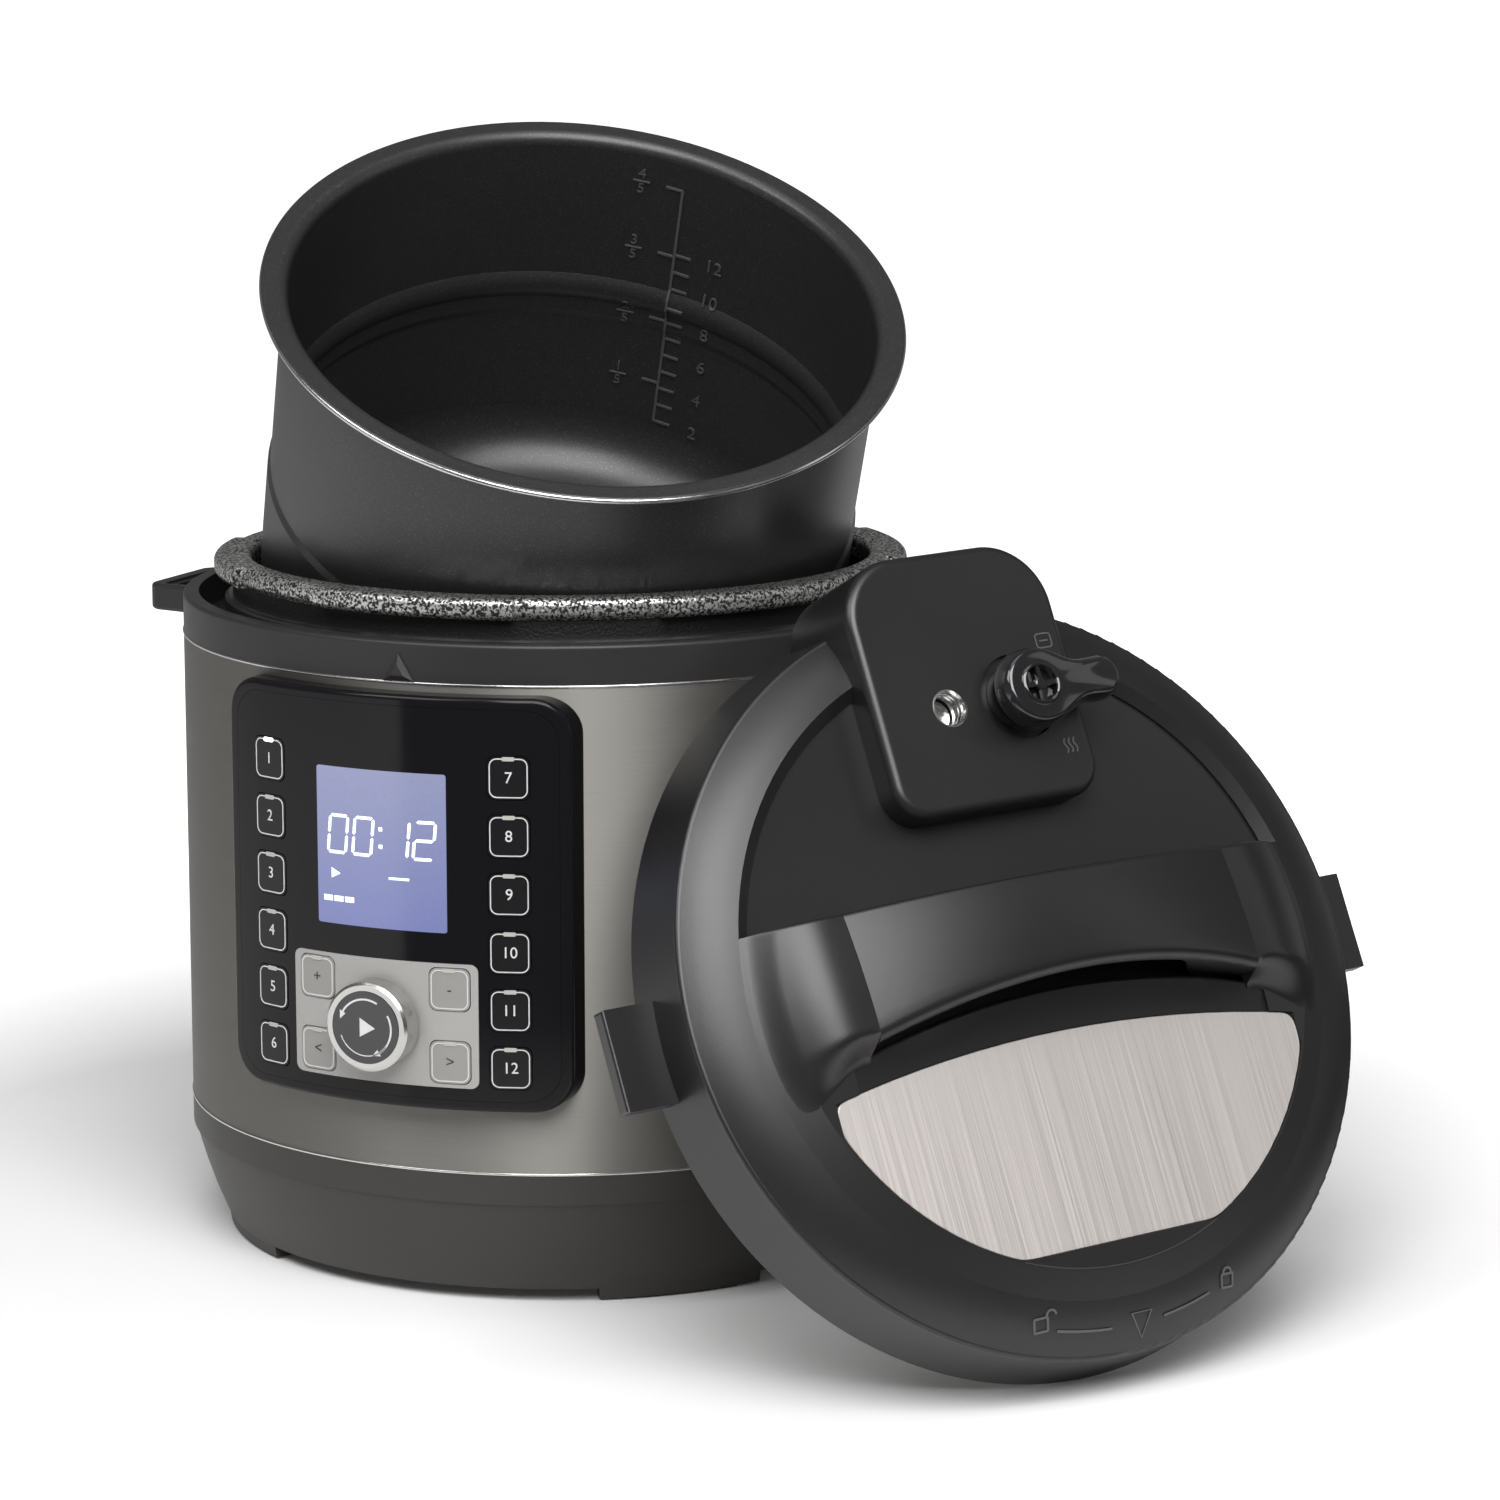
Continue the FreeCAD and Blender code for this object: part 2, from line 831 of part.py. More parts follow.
def condensation_cup():
    """Cup that catches the channel's water, hung by its flanges."""
    flange_top = rail_top - rail_plate - slide_gap
    flange_bottom = flange_top - cup_flange_thickness
    bottom = flange_top - cup_height
    back = body_radius + cup_depth
    half = cup_width / 2
    core_radius = body_radius + slide_gap

    def block(side, low, high, end, core):
        prism = front_prism(rounded(2 * side, high - low, 2.0, 0, (high + low) / 2), body_radius / 2, end)
        return prism.cut(rod(core, low - 1, high + 1))

    body = block(half - slide_gap, bottom, flange_top, back, core_radius)
    flange = front_prism([(-half - cup_flange, flange_bottom), (half + cup_flange, flange_bottom),
                          (half + cup_flange, flange_top), (-half - cup_flange, flange_top)],
                         body_radius / 2, back).cut(rod(core_radius, bottom, flange_top + 1))
    hollow = block(half - slide_gap - cup_wall, bottom + cup_wall, flange_top + 3 * cup_wall,
                   back - cup_wall, core_radius + cup_wall)
    return joined(body, flange).cut(hollow)


def panel_bezel():
    """Raised frame round the control panel."""
    outline = rounded(panel_width, panel_height, panel_corner, 0, panel_level)
    block = on_panel(outline, body_radius + seat_gap, face_radius)
    block = softened(block, bezel_edge, lambda e: all(
        abs(math.hypot(p.x, p.y) - face_radius) < 1e-3 for p in e.discretize(5)))
    return block.cut([panel_opening(panel_border, face_back, face_radius + 1, 0.0),
                      panel_opening(panel_border + panel_ledge, body_radius / 2, face_radius, 0.0)])


def panel_opening(inset, inner, outer, grow):
    """Sheet of the panel's outline, drawn in from its edge."""
    width = panel_width - 2 * inset + 2 * grow
    height = panel_height - 2 * inset + 2 * grow
    return on_panel(rounded(width, height, panel_corner - inset / 2, 0, panel_level), inner, outer)


def key_places():
    """Names, arcs and levels of the twelve program keys and four grey keys."""
    places = {}
    for row in range(key_rows):
        level = key_top_level - row * key_pitch
        places["program_key_left_%d" % (row + 1)] = (-key_arc, level)
        places["program_key_right_%d" % (row + 1)] = (key_arc, level)
    for row, offset in enumerate((grey_key_pitch / 2, -grey_key_pitch / 2)):
        places["setting_key_left_%d" % (row + 1)] = (-grey_key_arc, grey_level + offset)
        places["setting_key_right_%d" % (row + 1)] = (grey_key_arc, grey_level + offset)
    return places


def key_cap(name, grow=0.0, inner=None, outer=None):
    """Key cap's shape through the sheet, or with grow the hole for it."""
    arc, level = key_places()[name]
    outline = rounded(key_width + 2 * grow, key_height + 2 * grow, key_corner, 0, level)
    return on_panel(outline, inner, outer, arc)


def key(name):
    """Key with a flange that keeps it behind the sheet."""
    proud = key_proud + (grey_proud if name.startswith("setting") else 0.0)
    cap = key_cap(name, 0.0, key_back, face_radius + proud)
    flange = key_cap(name, key_flange, key_back, key_back + key_flange_thickness)
    return joined(cap, flange)


def panel_face():
    """Glossy curved sheet with openings for the screen, the grey plate and the keys."""
    sheet = panel_opening(panel_border, face_back, face_radius, -seat_gap)
    room = 2 * seat_gap
    screen = on_panel(rounded(lcd_width + room, lcd_height + room, lcd_corner, 0, lcd_level),
                      face_back - 1, face_radius + 1)
    plate = on_panel(rounded(grey_width + room, grey_height + room, grey_corner, 0, grey_level),
                     face_back - 1, face_radius + 1)
    holes = [key_cap(name, slide_gap, face_back - 1, face_radius + 1)
             for name in key_places() if name.startswith("program")]
    return sheet.cut([screen, plate] + holes)


def lcd_window():
    """Clear window over the screen."""
    return on_panel(rounded(lcd_width, lcd_height, lcd_corner, 0, lcd_level), face_back, face_radius)


def key_plate():
    """Grey plate round the dial with four key openings."""
    plate = on_panel(rounded(grey_width, grey_height, grey_corner, 0, grey_level),
                     face_back, face_radius + grey_proud)
    holes = [key_cap(name, slide_gap, face_back - 1, face_radius + 1)
             for name in key_places() if name.startswith("setting")]
    shaft = Part.makeCylinder(shaft_radius + 2, 40, V(0, -face_radius - 20, grey_level), V(0, 1, 0))
    return plate.cut(holes + [shaft])


def switch_sheet():
    """Curved switch board with a stud behind each key and the screen's module."""
    inset = panel_border + panel_ledge + slide_gap
    board = panel_opening(inset, body_radius + seat_gap, sheet_top, 0.0)
    stud_top = key_back - key_travel - slide_gap
    studs = []
    for arc, level in key_places().values():
        stud = Part.makeCylinder(stud_radius, stud_top - body_radius - 0.5,
                                 V(0, -stud_top, level), V(0, 1, 0))
        studs.append(spun(stud, math.degrees(arc / face_radius)))
    rim = 2 * lcd_frame
    screen = on_panel(rounded(lcd_width + rim, lcd_height + rim, lcd_corner, 0, lcd_level),
                      body_radius + seat_gap, face_back)
    return joined(board, screen, *studs)


def panel_rod(radius, near, far):
    """Cylinder on the dial's axis between two distances from the Z axis."""
    return Part.makeCylinder(radius, far - near, V(0, -far, grey_level), V(0, 1, 0))


def dial_encoder():
    """Rotary switch body that carries the dial's shaft."""
    body = panel_rod(encoder_radius, sheet_top, face_back - slide_gap)
    return body.cut(panel_rod(shaft_radius + bore_gap, sheet_top + 1, face_radius))


def encoder_shaft():
    """Shaft that turns with the dial."""
    return panel_rod(shaft_radius, sheet_top + 1 + slide_gap, dial_back + shaft_grip)


def dial_ring():
    """Steel knob with a hub that slides on the shaft."""
    far = dial_back + dial_length
    drum = panel_rod(dial_radius, dial_back, far)
    drum = drum.makeChamfer(dial_edge, [e for e in drum.Edges if e.BoundBox.YLength < 1e-6])
    bore = panel_rod(shaft_radius + bore_gap, dial_back - 1, far + 1)
    seat = panel_rod(dial_radius - dial_wall, far - dial_face, far + 1)
    hollow = panel_rod(dial_radius - dial_wall, dial_back - 1, far - 2 * dial_face)
    hub = panel_rod(shaft_radius + 2, dial_back, far - dial_face)
    return joined(drum.cut([hollow]), hub).cut([bore, seat])


def dial_cap():
    """Black face of the dial."""
    far = dial_back + dial_length
    return panel_rod(dial_radius - dial_wall - seat_gap, far - dial_face, far + 0.3)


def pot_outside():
    """Outer profile of the pot below its rim, as radius and depth with arcs."""
    corner = pot_corner
    cut = corner * (1 - ROOT_HALF)
    return [
        (0.0, -pot_depth),
        (pot_belly_radius - corner, -pot_depth),
        (pot_belly_radius - cut, cut - pot_depth, pot_belly_radius, corner - pot_depth),
        (pot_belly_radius, -pot_step - pot_step_length),
        (pot_wall_radius, -pot_step),
    ]


def inner_pot():
    """Coated pot with a flat rim, a belly step and a round base corner."""
    inner_corner = pot_corner - pot_wall
    cut = inner_corner * (1 - ROOT_HALF)
    wall = pot_wall_radius - pot_wall
    belly = pot_belly_radius - pot_wall
    floor = pot_wall - pot_depth
    edge = pot_rim_thickness / 2
    lip_cut = pot_lip * (1 - ROOT_HALF)
    return turned(pot_outside() + [
        (pot_wall_radius, -pot_rim_thickness),
        (pot_rim_radius - edge, -pot_rim_thickness),
        (pot_rim_radius, -edge, pot_rim_radius - edge, 0.0),
        (wall + pot_lip, 0.0),
        (wall + lip_cut, -lip_cut, wall, -pot_lip),
        (wall, -pot_step),
        (belly, -pot_step - pot_step_length),
        (belly, floor + inner_corner),
        (belly - cut, floor + cut, belly - inner_corner, floor),
        (0.0, floor),
    ])


def pot_samples():
    """Radius and depth at points down the pot's outer wall and round its corner."""
    samples = [(pot_wall_radius, pot_step * i / 20) for i in range(21)]
    straight = pot_depth - pot_corner - pot_step
    samples += [(pot_belly_radius, pot_step + straight * i / 12) for i in range(13)]
    middle = pot_belly_radius - pot_corner
    for i in range(19):
        turn = math.radians(5.0 * i)
        samples.append((middle + pot_corner * math.cos(turn),
                        pot_depth - pot_corner + pot_corner * math.sin(turn)))
    return samples


def pot_rest():
    """Rim centre of the tilted pot: its front wall on the ring's edge, its base on the ring behind."""
    tilt = math.radians(pot_tilt)
    along = (math.sin(tilt), math.cos(tilt))
    across = (math.cos(tilt), -math.sin(tilt))
    edge_out, edge_up = ring_inner + ring_edge, ring_top - ring_edge
    reach = edge_out * across[0] + edge_up * across[1] - pot_wall_radius - ring_edge - slide_gap
    rear = [math.radians(angle) for angle in range(60, 181, 3)]
    rounds = [(math.cos(angle), math.sin(angle)) for angle in rear]

    def room(lift):
        start = (reach * across[0] + lift * along[0], reach * across[1] + lift * along[1])
        least = pot_depth
        for radius, depth in pot_samples():
            for cosine, sine in rounds:
                forward = start[0] - depth * along[0] + radius * cosine * across[0]
                height = start[1] - depth * along[1] + radius * cosine * across[1]
                inward = edge_out - math.hypot(forward, radius * sine)
                upward = height - edge_up
                if inward > 0 and upward > 0:
                    gap = math.hypot(inward, upward) - ring_edge
                else:
                    gap = max(inward, upward) - ring_edge
                least = min(least, gap)
        return least

    low, high = ring_top, ring_top + 2 * pot_depth
    while high - low > 0.01:
        middle = (low + high) / 2
        if room(middle) < slide_gap - 0.02:
            low = middle
        else:
            high = middle
    forward = reach * across[0] + high * along[0]
    heading = math.radians(pot_azimuth)
    height = reach * across[1] + high * along[1]
    return V(forward * math.cos(heading), forward * math.sin(heading), height)


def set_down(shape, place, turn):
    """Copy of a shape turned and then moved."""
    copy = shape.copy()
    copy.Placement = FreeCAD.Placement(place, turn).multiply(copy.Placement)
    return copy


def rest_pot(shape):
    """Pot's shape set down where it leans in the ring."""
    turn = FreeCAD.Rotation(Z, pot_azimuth + 90).multiply(FreeCAD.Rotation(X, pot_tilt))
    return set_down(shape, pot_rest(), turn)


def rest_lid(shape):
    """Lid's shape set down on the edge of its skirt, leaning back."""
    tilt = math.radians(lid_elevation)
    height = lid_rim_radius * math.cos(tilt) + lid_skirt * math.sin(tilt)
    turn = FreeCAD.Rotation(Z, lid_azimuth + 90).multiply(
        FreeCAD.Rotation(X, 90 - lid_elevation)).multiply(FreeCAD.Rotation(Z, lid_spin))
    return set_down(shape, V(lid_center_x, lid_center_y, height), turn)


def lid_shell():
    """Outer form of the lid: skirt, shoulder, bevel and crowned top, solid inside."""
    edge = shoulder_edge
    bevel_radius = platform_radius + bevel_width
    half_radius = (lid_shoulder_radius + bevel_radius) / 2
    return turned([
        (0.0, -lid_skirt),
        (lid_rim_radius, -lid_skirt),
        (lid_shoulder_radius, -edge),
        (lid_shoulder_radius - 0.3 * edge, 0.1 * edge, lid_shoulder_radius - edge, 0.5 * edge),
        (half_radius, bevel_top * 0.62, bevel_radius, bevel_top),
        (crown_radius, crown_edge),
        (crown_radius / 2, crown_top - (crown_top - crown_edge) * 0.25, 0.0, crown_top),
    ])


def lid_cavity():
    """Hollow under the lid."""
    wall = lid_skirt_wall
    shelf = inner_lid_top
    taper = (lid_rim_radius - lid_shoulder_radius) / lid_skirt
    return turned([
        (0.0, -lid_skirt - 1),
        (lid_rim_radius - wall + taper, -lid_skirt - 1),
        (lid_shoulder_radius - wall - taper * shelf, shelf),
        (ceiling_radius, ceiling),
        (0.0, ceiling),
    ])


def rear_platform():
    """Space above the flat platform behind the grip, with its bevelled border."""
    bevel_radius = platform_radius + bevel_width
    disc = turned([
        (0.0, platform_level),
        (platform_radius, platform_level),
        (platform_radius, bevel_bottom),
        (bevel_radius, bevel_top),
        (bevel_radius, grip_top + 10),
        (0.0, grip_top + 10),
    ])
    behind = plan_prism([(-200.0, ridge_line), (200.0, ridge_line), (200.0, 200.0), (-200.0, 200.0)], 0, 60)
    return disc.common(behind)


def grip_heights(x):
    """Heights of the grip's front and rear edges at a place across the lid."""
    reach = abs(x)
    if reach <= grip_half:
        front = grip_end_height + (grip_top - grip_end_height) * (1 - (reach / grip_half) ** 2)
    else:
        share = (reach - grip_half) / (ramp_end - grip_half)
        front = grip_end_height + (ramp_foot - grip_end_height) * share ** 2 * (3 - 2 * share)
    return front, front - grip_fall * (front - ramp_foot) / (grip_top - ramp_foot)


def grip_section(x, floor):
    """Outline of the grip at a place across the lid, with a round front edge and a tighter rear one."""
    front, rear = grip_heights(x)
    cut = grip_round * (1 - ROOT_HALF)
    back = grip_round / 2
    outline = [
        (grip_front, floor),
        (ridge_line, floor),
        (ridge_line, rear - back),
        (ridge_line - cut / 2, rear - cut / 2, ridge_line - back, rear),
        (grip_front + grip_round, front),
        (grip_front + cut, front - cut, grip_front, front - grip_round),
    ]
    return Part.Wire(edges_through(outline, lambda y, z: V(x, y, z)))


def lid_handle():
    """Arched grip bar, hollow under its front edge for the fingers."""
    places = [grip_half * i / 2 for i in range(-2, 3)]
    bar = Part.makeLoft([grip_section(x, grip_floor) for x in places], True)
    finger_half = grip_half - grip_end_block
    end = grip_heights(finger_half)[0] - grip_skin
    finger = front_prism([
        (-finger_half, 0.0),
        (finger_half, 0.0),
        (finger_half, end),
        (0.0, grip_top - grip_skin, -finger_half, end),
    ], grip_front - 1, ridge_line - grip_back_wall)
    return bar.cut(finger)


def grip_ramps():
    """Ends of the grip that run down into the lid's shoulder."""
    step = (ramp_end - grip_half) / 3
    right = [grip_half + step * i for i in range(4)]
    left = [-x for x in reversed(right)]
    return [Part.makeLoft([grip_section(x, 0.0) for x in places], True) for places in (right, left)]


def label_outline(grow=0.0):
    """D-shaped plate in front of the grip."""
    circle = label_circle + grow
    chord = label_chord - grow
    corner = math.sqrt(circle ** 2 - chord ** 2)
    side = label_half_width + grow
    side_y = -math.sqrt(circle ** 2 - side ** 2)
    bend = math.atan2(side_y + chord, side + corner)
    return [
        (-side, label_back_side + grow),
        (-side, side_y),
        (-circle * math.cos(bend), circle * math.sin(bend), -corner, chord),
        (corner, chord),
        (circle * math.cos(bend), circle * math.sin(bend), side, side_y),
        (side, label_back_side + grow),
        (0.0, label_back + grow, -side, label_back_side + grow),
    ]


def lid_places(count, circle, start):
    """Evenly spaced places on a circle of the lid."""
    return [(circle * math.cos(math.radians(start + 360.0 * i / count)),
             circle * math.sin(math.radians(start + 360.0 * i / count))) for i in range(count)]


def lid_cover():
    """Lid moulding with platform, trough, plate seat, screw posts and valve holes."""
    trough = plan_prism([(-grip_half, trough_front), (grip_half, trough_front),
                         (grip_half, ridge_line), (-grip_half, ridge_line)], grip_floor, grip_top + 10)
    seat = plan_prism(label_outline(seat_gap), plate_floor, grip_top + 10)
    solid = joined(lid_shell(), *grip_ramps()).cut([rear_platform(), trough, seat, lid_cavity()])
    posts = [rod(lid_post_radius, inner_lid_top, ceiling + 1, x, y)
             for x, y in lid_places(4, lid_post_circle, 45.0)]
    holes = [rod(pipe_radius + seat_gap, inner_lid_top - 1, box_top, valve_x, valve_y),
             rod(float_radius + slide_gap, inner_lid_top - 1, box_top, float_x, float_y)]
    holes += [rod(screw_radius + seat_gap, inner_lid_top - 1, ceiling, x, y)
              for x, y in lid_places(4, lid_post_circle, 45.0)]
    return joined(solid, *posts).cut(holes)


def label_plate():
    """Bare brushed steel plate on the front of the lid."""
    return plan_prism(label_outline(), plate_floor, plate_floor + label_thickness)


def box_outline():
    """Steam box in plan, with small front corners and large back ones."""
    near, far = box_corner, box_back_corner
    near_cut = near * (1 - ROOT_HALF)
    far_cut = far * (1 - ROOT_HALF)
    return [
        (-box_half + near, box_front),
        (box_half - near, box_front),
        (box_half - near_cut, box_front + near_cut, box_half, box_front + near),
        (box_half, box_back - far),
        (box_half - far_cut, box_back - far_cut, box_half - far, box_back),
        (-box_half + far, box_back),
        (-box_half + far_cut, box_back - far_cut, -box_half, box_back - far),
        (-box_half, box_front + near),
        (-box_half + near_cut, box_front + near_cut, -box_half + near, box_front),
    ]


def steam_box():
    """Valve cover that stands on the platform and hangs down behind the skirt."""
    block = plan_prism(box_outline(), box_bottom, box_top)
    block = softened(block, box_edge, level_edge(box_top))
    below = lid_shell().cut(rear_platform())
    well = rod(valve_well_radius, box_top - valve_well_depth, box_top + 1, valve_x, valve_y)
    stem = rod(pipe_radius + seat_gap, platform_level - 1, box_top + 1, valve_x, valve_y)
    window = rod(float_hole_radius, platform_level - 1, box_top + 1, float_x, float_y)
    return block.cut([below, well, stem, window])


def lid_fins():
    """Two side fins, either of which parks in a carrying handle's slot."""
    bottom = fin_top - fin_thickness
    blade = Part.makeBox(fin_reach - lid_shoulder_radius + 10, fin_width, fin_thickness,
                         V(lid_shoulder_radius - 10, -fin_width / 2, bottom))
    blade = softened(blade, fin_thickness / 6, lambda e: e.BoundBox.XMin > fin_reach - 1e-4)
    blade = blade.cut(lid_shell())
    return Part.makeCompound([blade, spun(blade, 180.0)])


def inner_lid():
    """Metal inner lid with a wall and teeth that lock under the bayonet ring."""
    radius = inner_lid_radius
    wall_inner = radius - inner_lid_wall
    bottom = inner_lid_top - inner_lid_depth
    pan = turned([
        (0.0, inner_lid_top),
        (0.0, inner_lid_under),
        (wall_inner, inner_lid_under),
        (wall_inner, bottom),
        (radius, bottom),
        (radius, inner_lid_top),
    ])

    def tooth(angle):
        return sector(wall_inner + inner_lid_wall / 2, wall_inner - tooth_reach, bottom,
                      bottom + tooth_height, angle, tooth_angle)

    holes = [rod(pipe_radius + seat_gap, bottom, inner_lid_top + 1, valve_x, valve_y),
             rod(float_radius + slide_gap, bottom, inner_lid_top + 1, float_x, float_y)]
    holes += [rod(screw_radius + seat_gap, bottom, inner_lid_top + 1, x, y)
              for x, y in lid_places(4, lid_post_circle, 45.0)]
    return joined(pan, *around(lug_count, tooth, 0.0)).cut(holes)


def lid_screws():
    """Screws that hold the inner lid to the cover's posts."""
    screws = []
    for x, y in lid_places(4, lid_post_circle, 45.0):
        head = rod(lid_screw_head, inner_lid_under - screw_head_height, inner_lid_under, x, y)
        screws.append(joined(head, rod(screw_radius, inner_lid_under, ceiling - 1, x, y)))
    return Part.makeCompound(screws)


def sealing_ring():
    """Silicone ring with a lip that faces the bayonet ring."""
    top = inner_lid_under
    bottom = top - seal_height
    wall = seal_wall
    return turned([
        (seal_inner, top),
        (seal_outer, top),
        (seal_outer, bottom),
        (seal_outer - wall, bottom),
        (seal_outer - wall, top - wall),
        (seal_inner + wall, top - wall),
        (seal_inner + wall, bottom + wall),
        (seal_inner, bottom + wall),
    ])


def seal_rack():
    """Wire hoop that holds the sealing ring."""
    middle = seal_inner - rack_wire
    level = inner_lid_under - rack_wire
    flat = rack_wire / 2
    return turned([
        (middle + rack_wire, level - flat),
        (middle + rack_wire, level + flat),
        (middle + flat, level + rack_wire),
        (middle - flat, level + rack_wire),
        (middle - rack_wire, level + flat),
        (middle - rack_wire, level - flat),
        (middle - flat, level - rack_wire),
        (middle + flat, level - rack_wire),
    ])


def steam_pipe():
    """Pipe that carries steam up to the valve knob."""
    bottom = inner_lid_under - shield_height / 2
    body = rod(pipe_radius, bottom, pipe_top, valve_x, valve_y)
    nut = rod(1.7 * pipe_radius, inner_lid_under - 2.5, inner_lid_under, valve_x, valve_y)
    bore = rod(pipe_bore, bottom - 1, pipe_top + 1, valve_x, valve_y)
    return joined(body, nut).cut(bore)


def anti_block_shield():
    """Slotted cap over the steam pipe's mouth."""
    top = inner_lid_under
    bottom = top - shield_height
    cap = rod(shield_radius, bottom, top)
    hollow = rod(shield_radius - shield_wall, bottom + shield_wall, top + 1)
    gap = Part.makeBox(shield_radius + 1, 2.4, shield_height / 2,
                       V(0, -1.2, bottom + shield_height / 4))
    shell = cap.cut([hollow] + around(shield_slots, lambda a: spun(gap, a)))
    shell.translate(V(valve_x, valve_y, 0))
    return shell


def steam_valve():
    """Valve knob with a lever, a vented top and a bore over the steam pipe."""
    skirt_bottom = box_top - valve_well_depth + slide_gap
    half = knob_dish
    knob = turned([
        (0.0, skirt_bottom),
        (knob_skirt_radius, skirt_bottom),
        (knob_skirt_radius, knob_waist),
        (knob_radius, knob_waist + 1.0),
        (knob_radius, knob_top - 2.5),
        (knob_radius - 0.7, knob_top - 0.7, knob_radius - 2.5, knob_top),
        (knob_radius - 5.0, knob_top),
        (knob_radius - 6.0, knob_top - half),
        (0.0, knob_top - half),
    ])
    tip_middle = lever_reach - lever_tip
    cut = lever_tip * (1 - ROOT_HALF)
    arm = plan_prism([
        (0.0, -knob_radius * 0.7),
        (tip_middle * 0.7, -lever_neck),
        (tip_middle, -lever_tip),
        (lever_reach - cut, -lever_tip + cut, lever_reach, 0.0),
        (lever_reach - cut, lever_tip - cut, tip_middle, lever_tip),
        (tip_middle * 0.7, lever_neck),
        (0.0, knob_radius * 0.7),
    ], knob_top - 1.0 - lever_thickness, knob_top - 1.0)
    arm = softened(arm, 1.2, level_edge(knob_top - 1.0))
    slot = Part.makeBox(5.0, 2.2, 6.0, V(1.6, -1.1, knob_top - half - 3.5))
    vents = around(4, lambda a: spun(slot, a), 45.0)
    bore = rod(pipe_radius + bore_gap, skirt_bottom - 1, pipe_top + slide_gap)
    body = joined(knob, arm).cut([bore] + vents)
    body.translate(V(valve_x, valve_y, 0))
    return body


def float_valve():
    """Metal float pin with a stepped head."""
    head_bottom = platform_level + slide_gap
    low = head_bottom - float_tail
    pin = turned([
        (0.0, low - 2.0),
        (float_radius / 2, low - 2.0),
        (float_radius / 2, low),
        (float_radius, low),
        (float_radius, head_bottom),
        (float_head_radius, head_bottom),
        (float_head_radius, head_bottom + float_head / 2),
        (float_radius * 0.8, head_bottom + float_head / 2),
        (float_radius * 0.8, head_bottom + float_head),
        (0.0, head_bottom + float_head),
    ])
    pin.translate(V(float_x, float_y, 0))
    return pin


def float_seal():
    """Silicone cap on the float pin's lower end."""
    low = platform_level + slide_gap - float_tail
    cap = tube(float_seal_radius, float_radius / 2, low - float_seal_height / 2, low)
    cap.translate(V(float_x, float_y, 0))
    return cap


def build():
    """All pieces by name."""
    pieces = {
        "lower_housing": lower_housing(),
        "rubber_feet": Part.makeCompound(foot_pads()),
        "bottom_cover": bottom_cover(),
        "base_screws": base_screws(),
        "steel_band": steel_band(),
        "collar": collar(),
        "handle_right": carrying_handle(0.0),
        "handle_left": carrying_handle(180.0),
        "heating_well": heating_well(),
        "bayonet_ring": bayonet_ring(),
        "heating_plate": heating_plate(),
        "heating_element": heating_element(),
        "temperature_sensor": temperature_sensor(),
        "sensor_guide": sensor_guide(),
        "sensor_spring": sensor_spring(),
        "power_board": power_board(),
        "power_inlet": power_inlet(),
        "inlet_pins": inlet_pins(),
        "cup_rail": cup_rail(),
        "condensation_cup": condensation_cup(),
        "panel_bezel": panel_bezel(),
        "panel_face": panel_face(),
        "lcd_window": lcd_window(),
        "key_plate": key_plate(),
        "switch_sheet": switch_sheet(),
        "dial_encoder": dial_encoder(),
        "encoder_shaft": encoder_shaft(),
        "dial_ring": dial_ring(),
        "dial_cap": dial_cap(),
    }
    for name in key_places():
        pieces[name] = key(name)
    pieces["inner_pot"] = rest_pot(inner_pot())
    lid = {
        "lid_cover": lid_cover(),
        "lid_handle": lid_handle(),
        "label_plate": label_plate(),
        "steam_box": steam_box(),
        "lid_fins": lid_fins(),
        "inner_lid": inner_lid(),
        "lid_screws": lid_screws(),
        "sealing_ring": sealing_ring(),
        "seal_rack": seal_rack(),
        "steam_pipe": steam_pipe(),
        "anti_block_shield": anti_block_shield(),
        "steam_valve": steam_valve(),
        "float_valve": float_valve(),
        "float_seal": float_seal(),
    }
    for name, shape in lid.items():
        pieces[name] = rest_lid(shape)
    return pieces


os.makedirs("parts", exist_ok=True)
for name, shape in build().items():
    shape.exportStep("parts/%s.step" % name)
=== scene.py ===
"""Looks of an electric pressure cooker: finishes, marks, added shapes, light and camera."""

import json
import logging
import math
from dataclasses import dataclass, field
from enum import Enum
from typing import Callable, ClassVar, Sequence

import bmesh
import bpy
from mathutils import Euler, Matrix, Vector

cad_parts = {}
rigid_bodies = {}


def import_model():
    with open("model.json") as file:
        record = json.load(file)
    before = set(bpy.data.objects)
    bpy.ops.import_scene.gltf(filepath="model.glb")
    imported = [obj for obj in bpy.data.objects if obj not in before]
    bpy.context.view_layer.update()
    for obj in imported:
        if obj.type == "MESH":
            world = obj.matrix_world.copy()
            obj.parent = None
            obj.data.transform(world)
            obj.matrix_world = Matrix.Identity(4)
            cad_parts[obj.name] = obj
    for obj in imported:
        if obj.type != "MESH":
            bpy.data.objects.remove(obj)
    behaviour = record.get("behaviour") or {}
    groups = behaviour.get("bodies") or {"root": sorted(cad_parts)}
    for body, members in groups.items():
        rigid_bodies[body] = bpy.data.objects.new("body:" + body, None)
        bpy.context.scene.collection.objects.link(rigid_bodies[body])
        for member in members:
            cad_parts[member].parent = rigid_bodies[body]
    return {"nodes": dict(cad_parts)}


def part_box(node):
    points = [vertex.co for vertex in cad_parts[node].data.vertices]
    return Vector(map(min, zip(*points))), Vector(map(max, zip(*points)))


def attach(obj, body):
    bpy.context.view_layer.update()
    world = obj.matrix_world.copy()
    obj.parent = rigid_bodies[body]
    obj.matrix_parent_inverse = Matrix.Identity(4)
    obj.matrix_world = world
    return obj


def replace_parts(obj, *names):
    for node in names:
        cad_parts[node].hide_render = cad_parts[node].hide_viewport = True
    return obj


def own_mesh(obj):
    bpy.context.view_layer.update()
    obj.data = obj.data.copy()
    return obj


log = logging.getLogger("cooker")

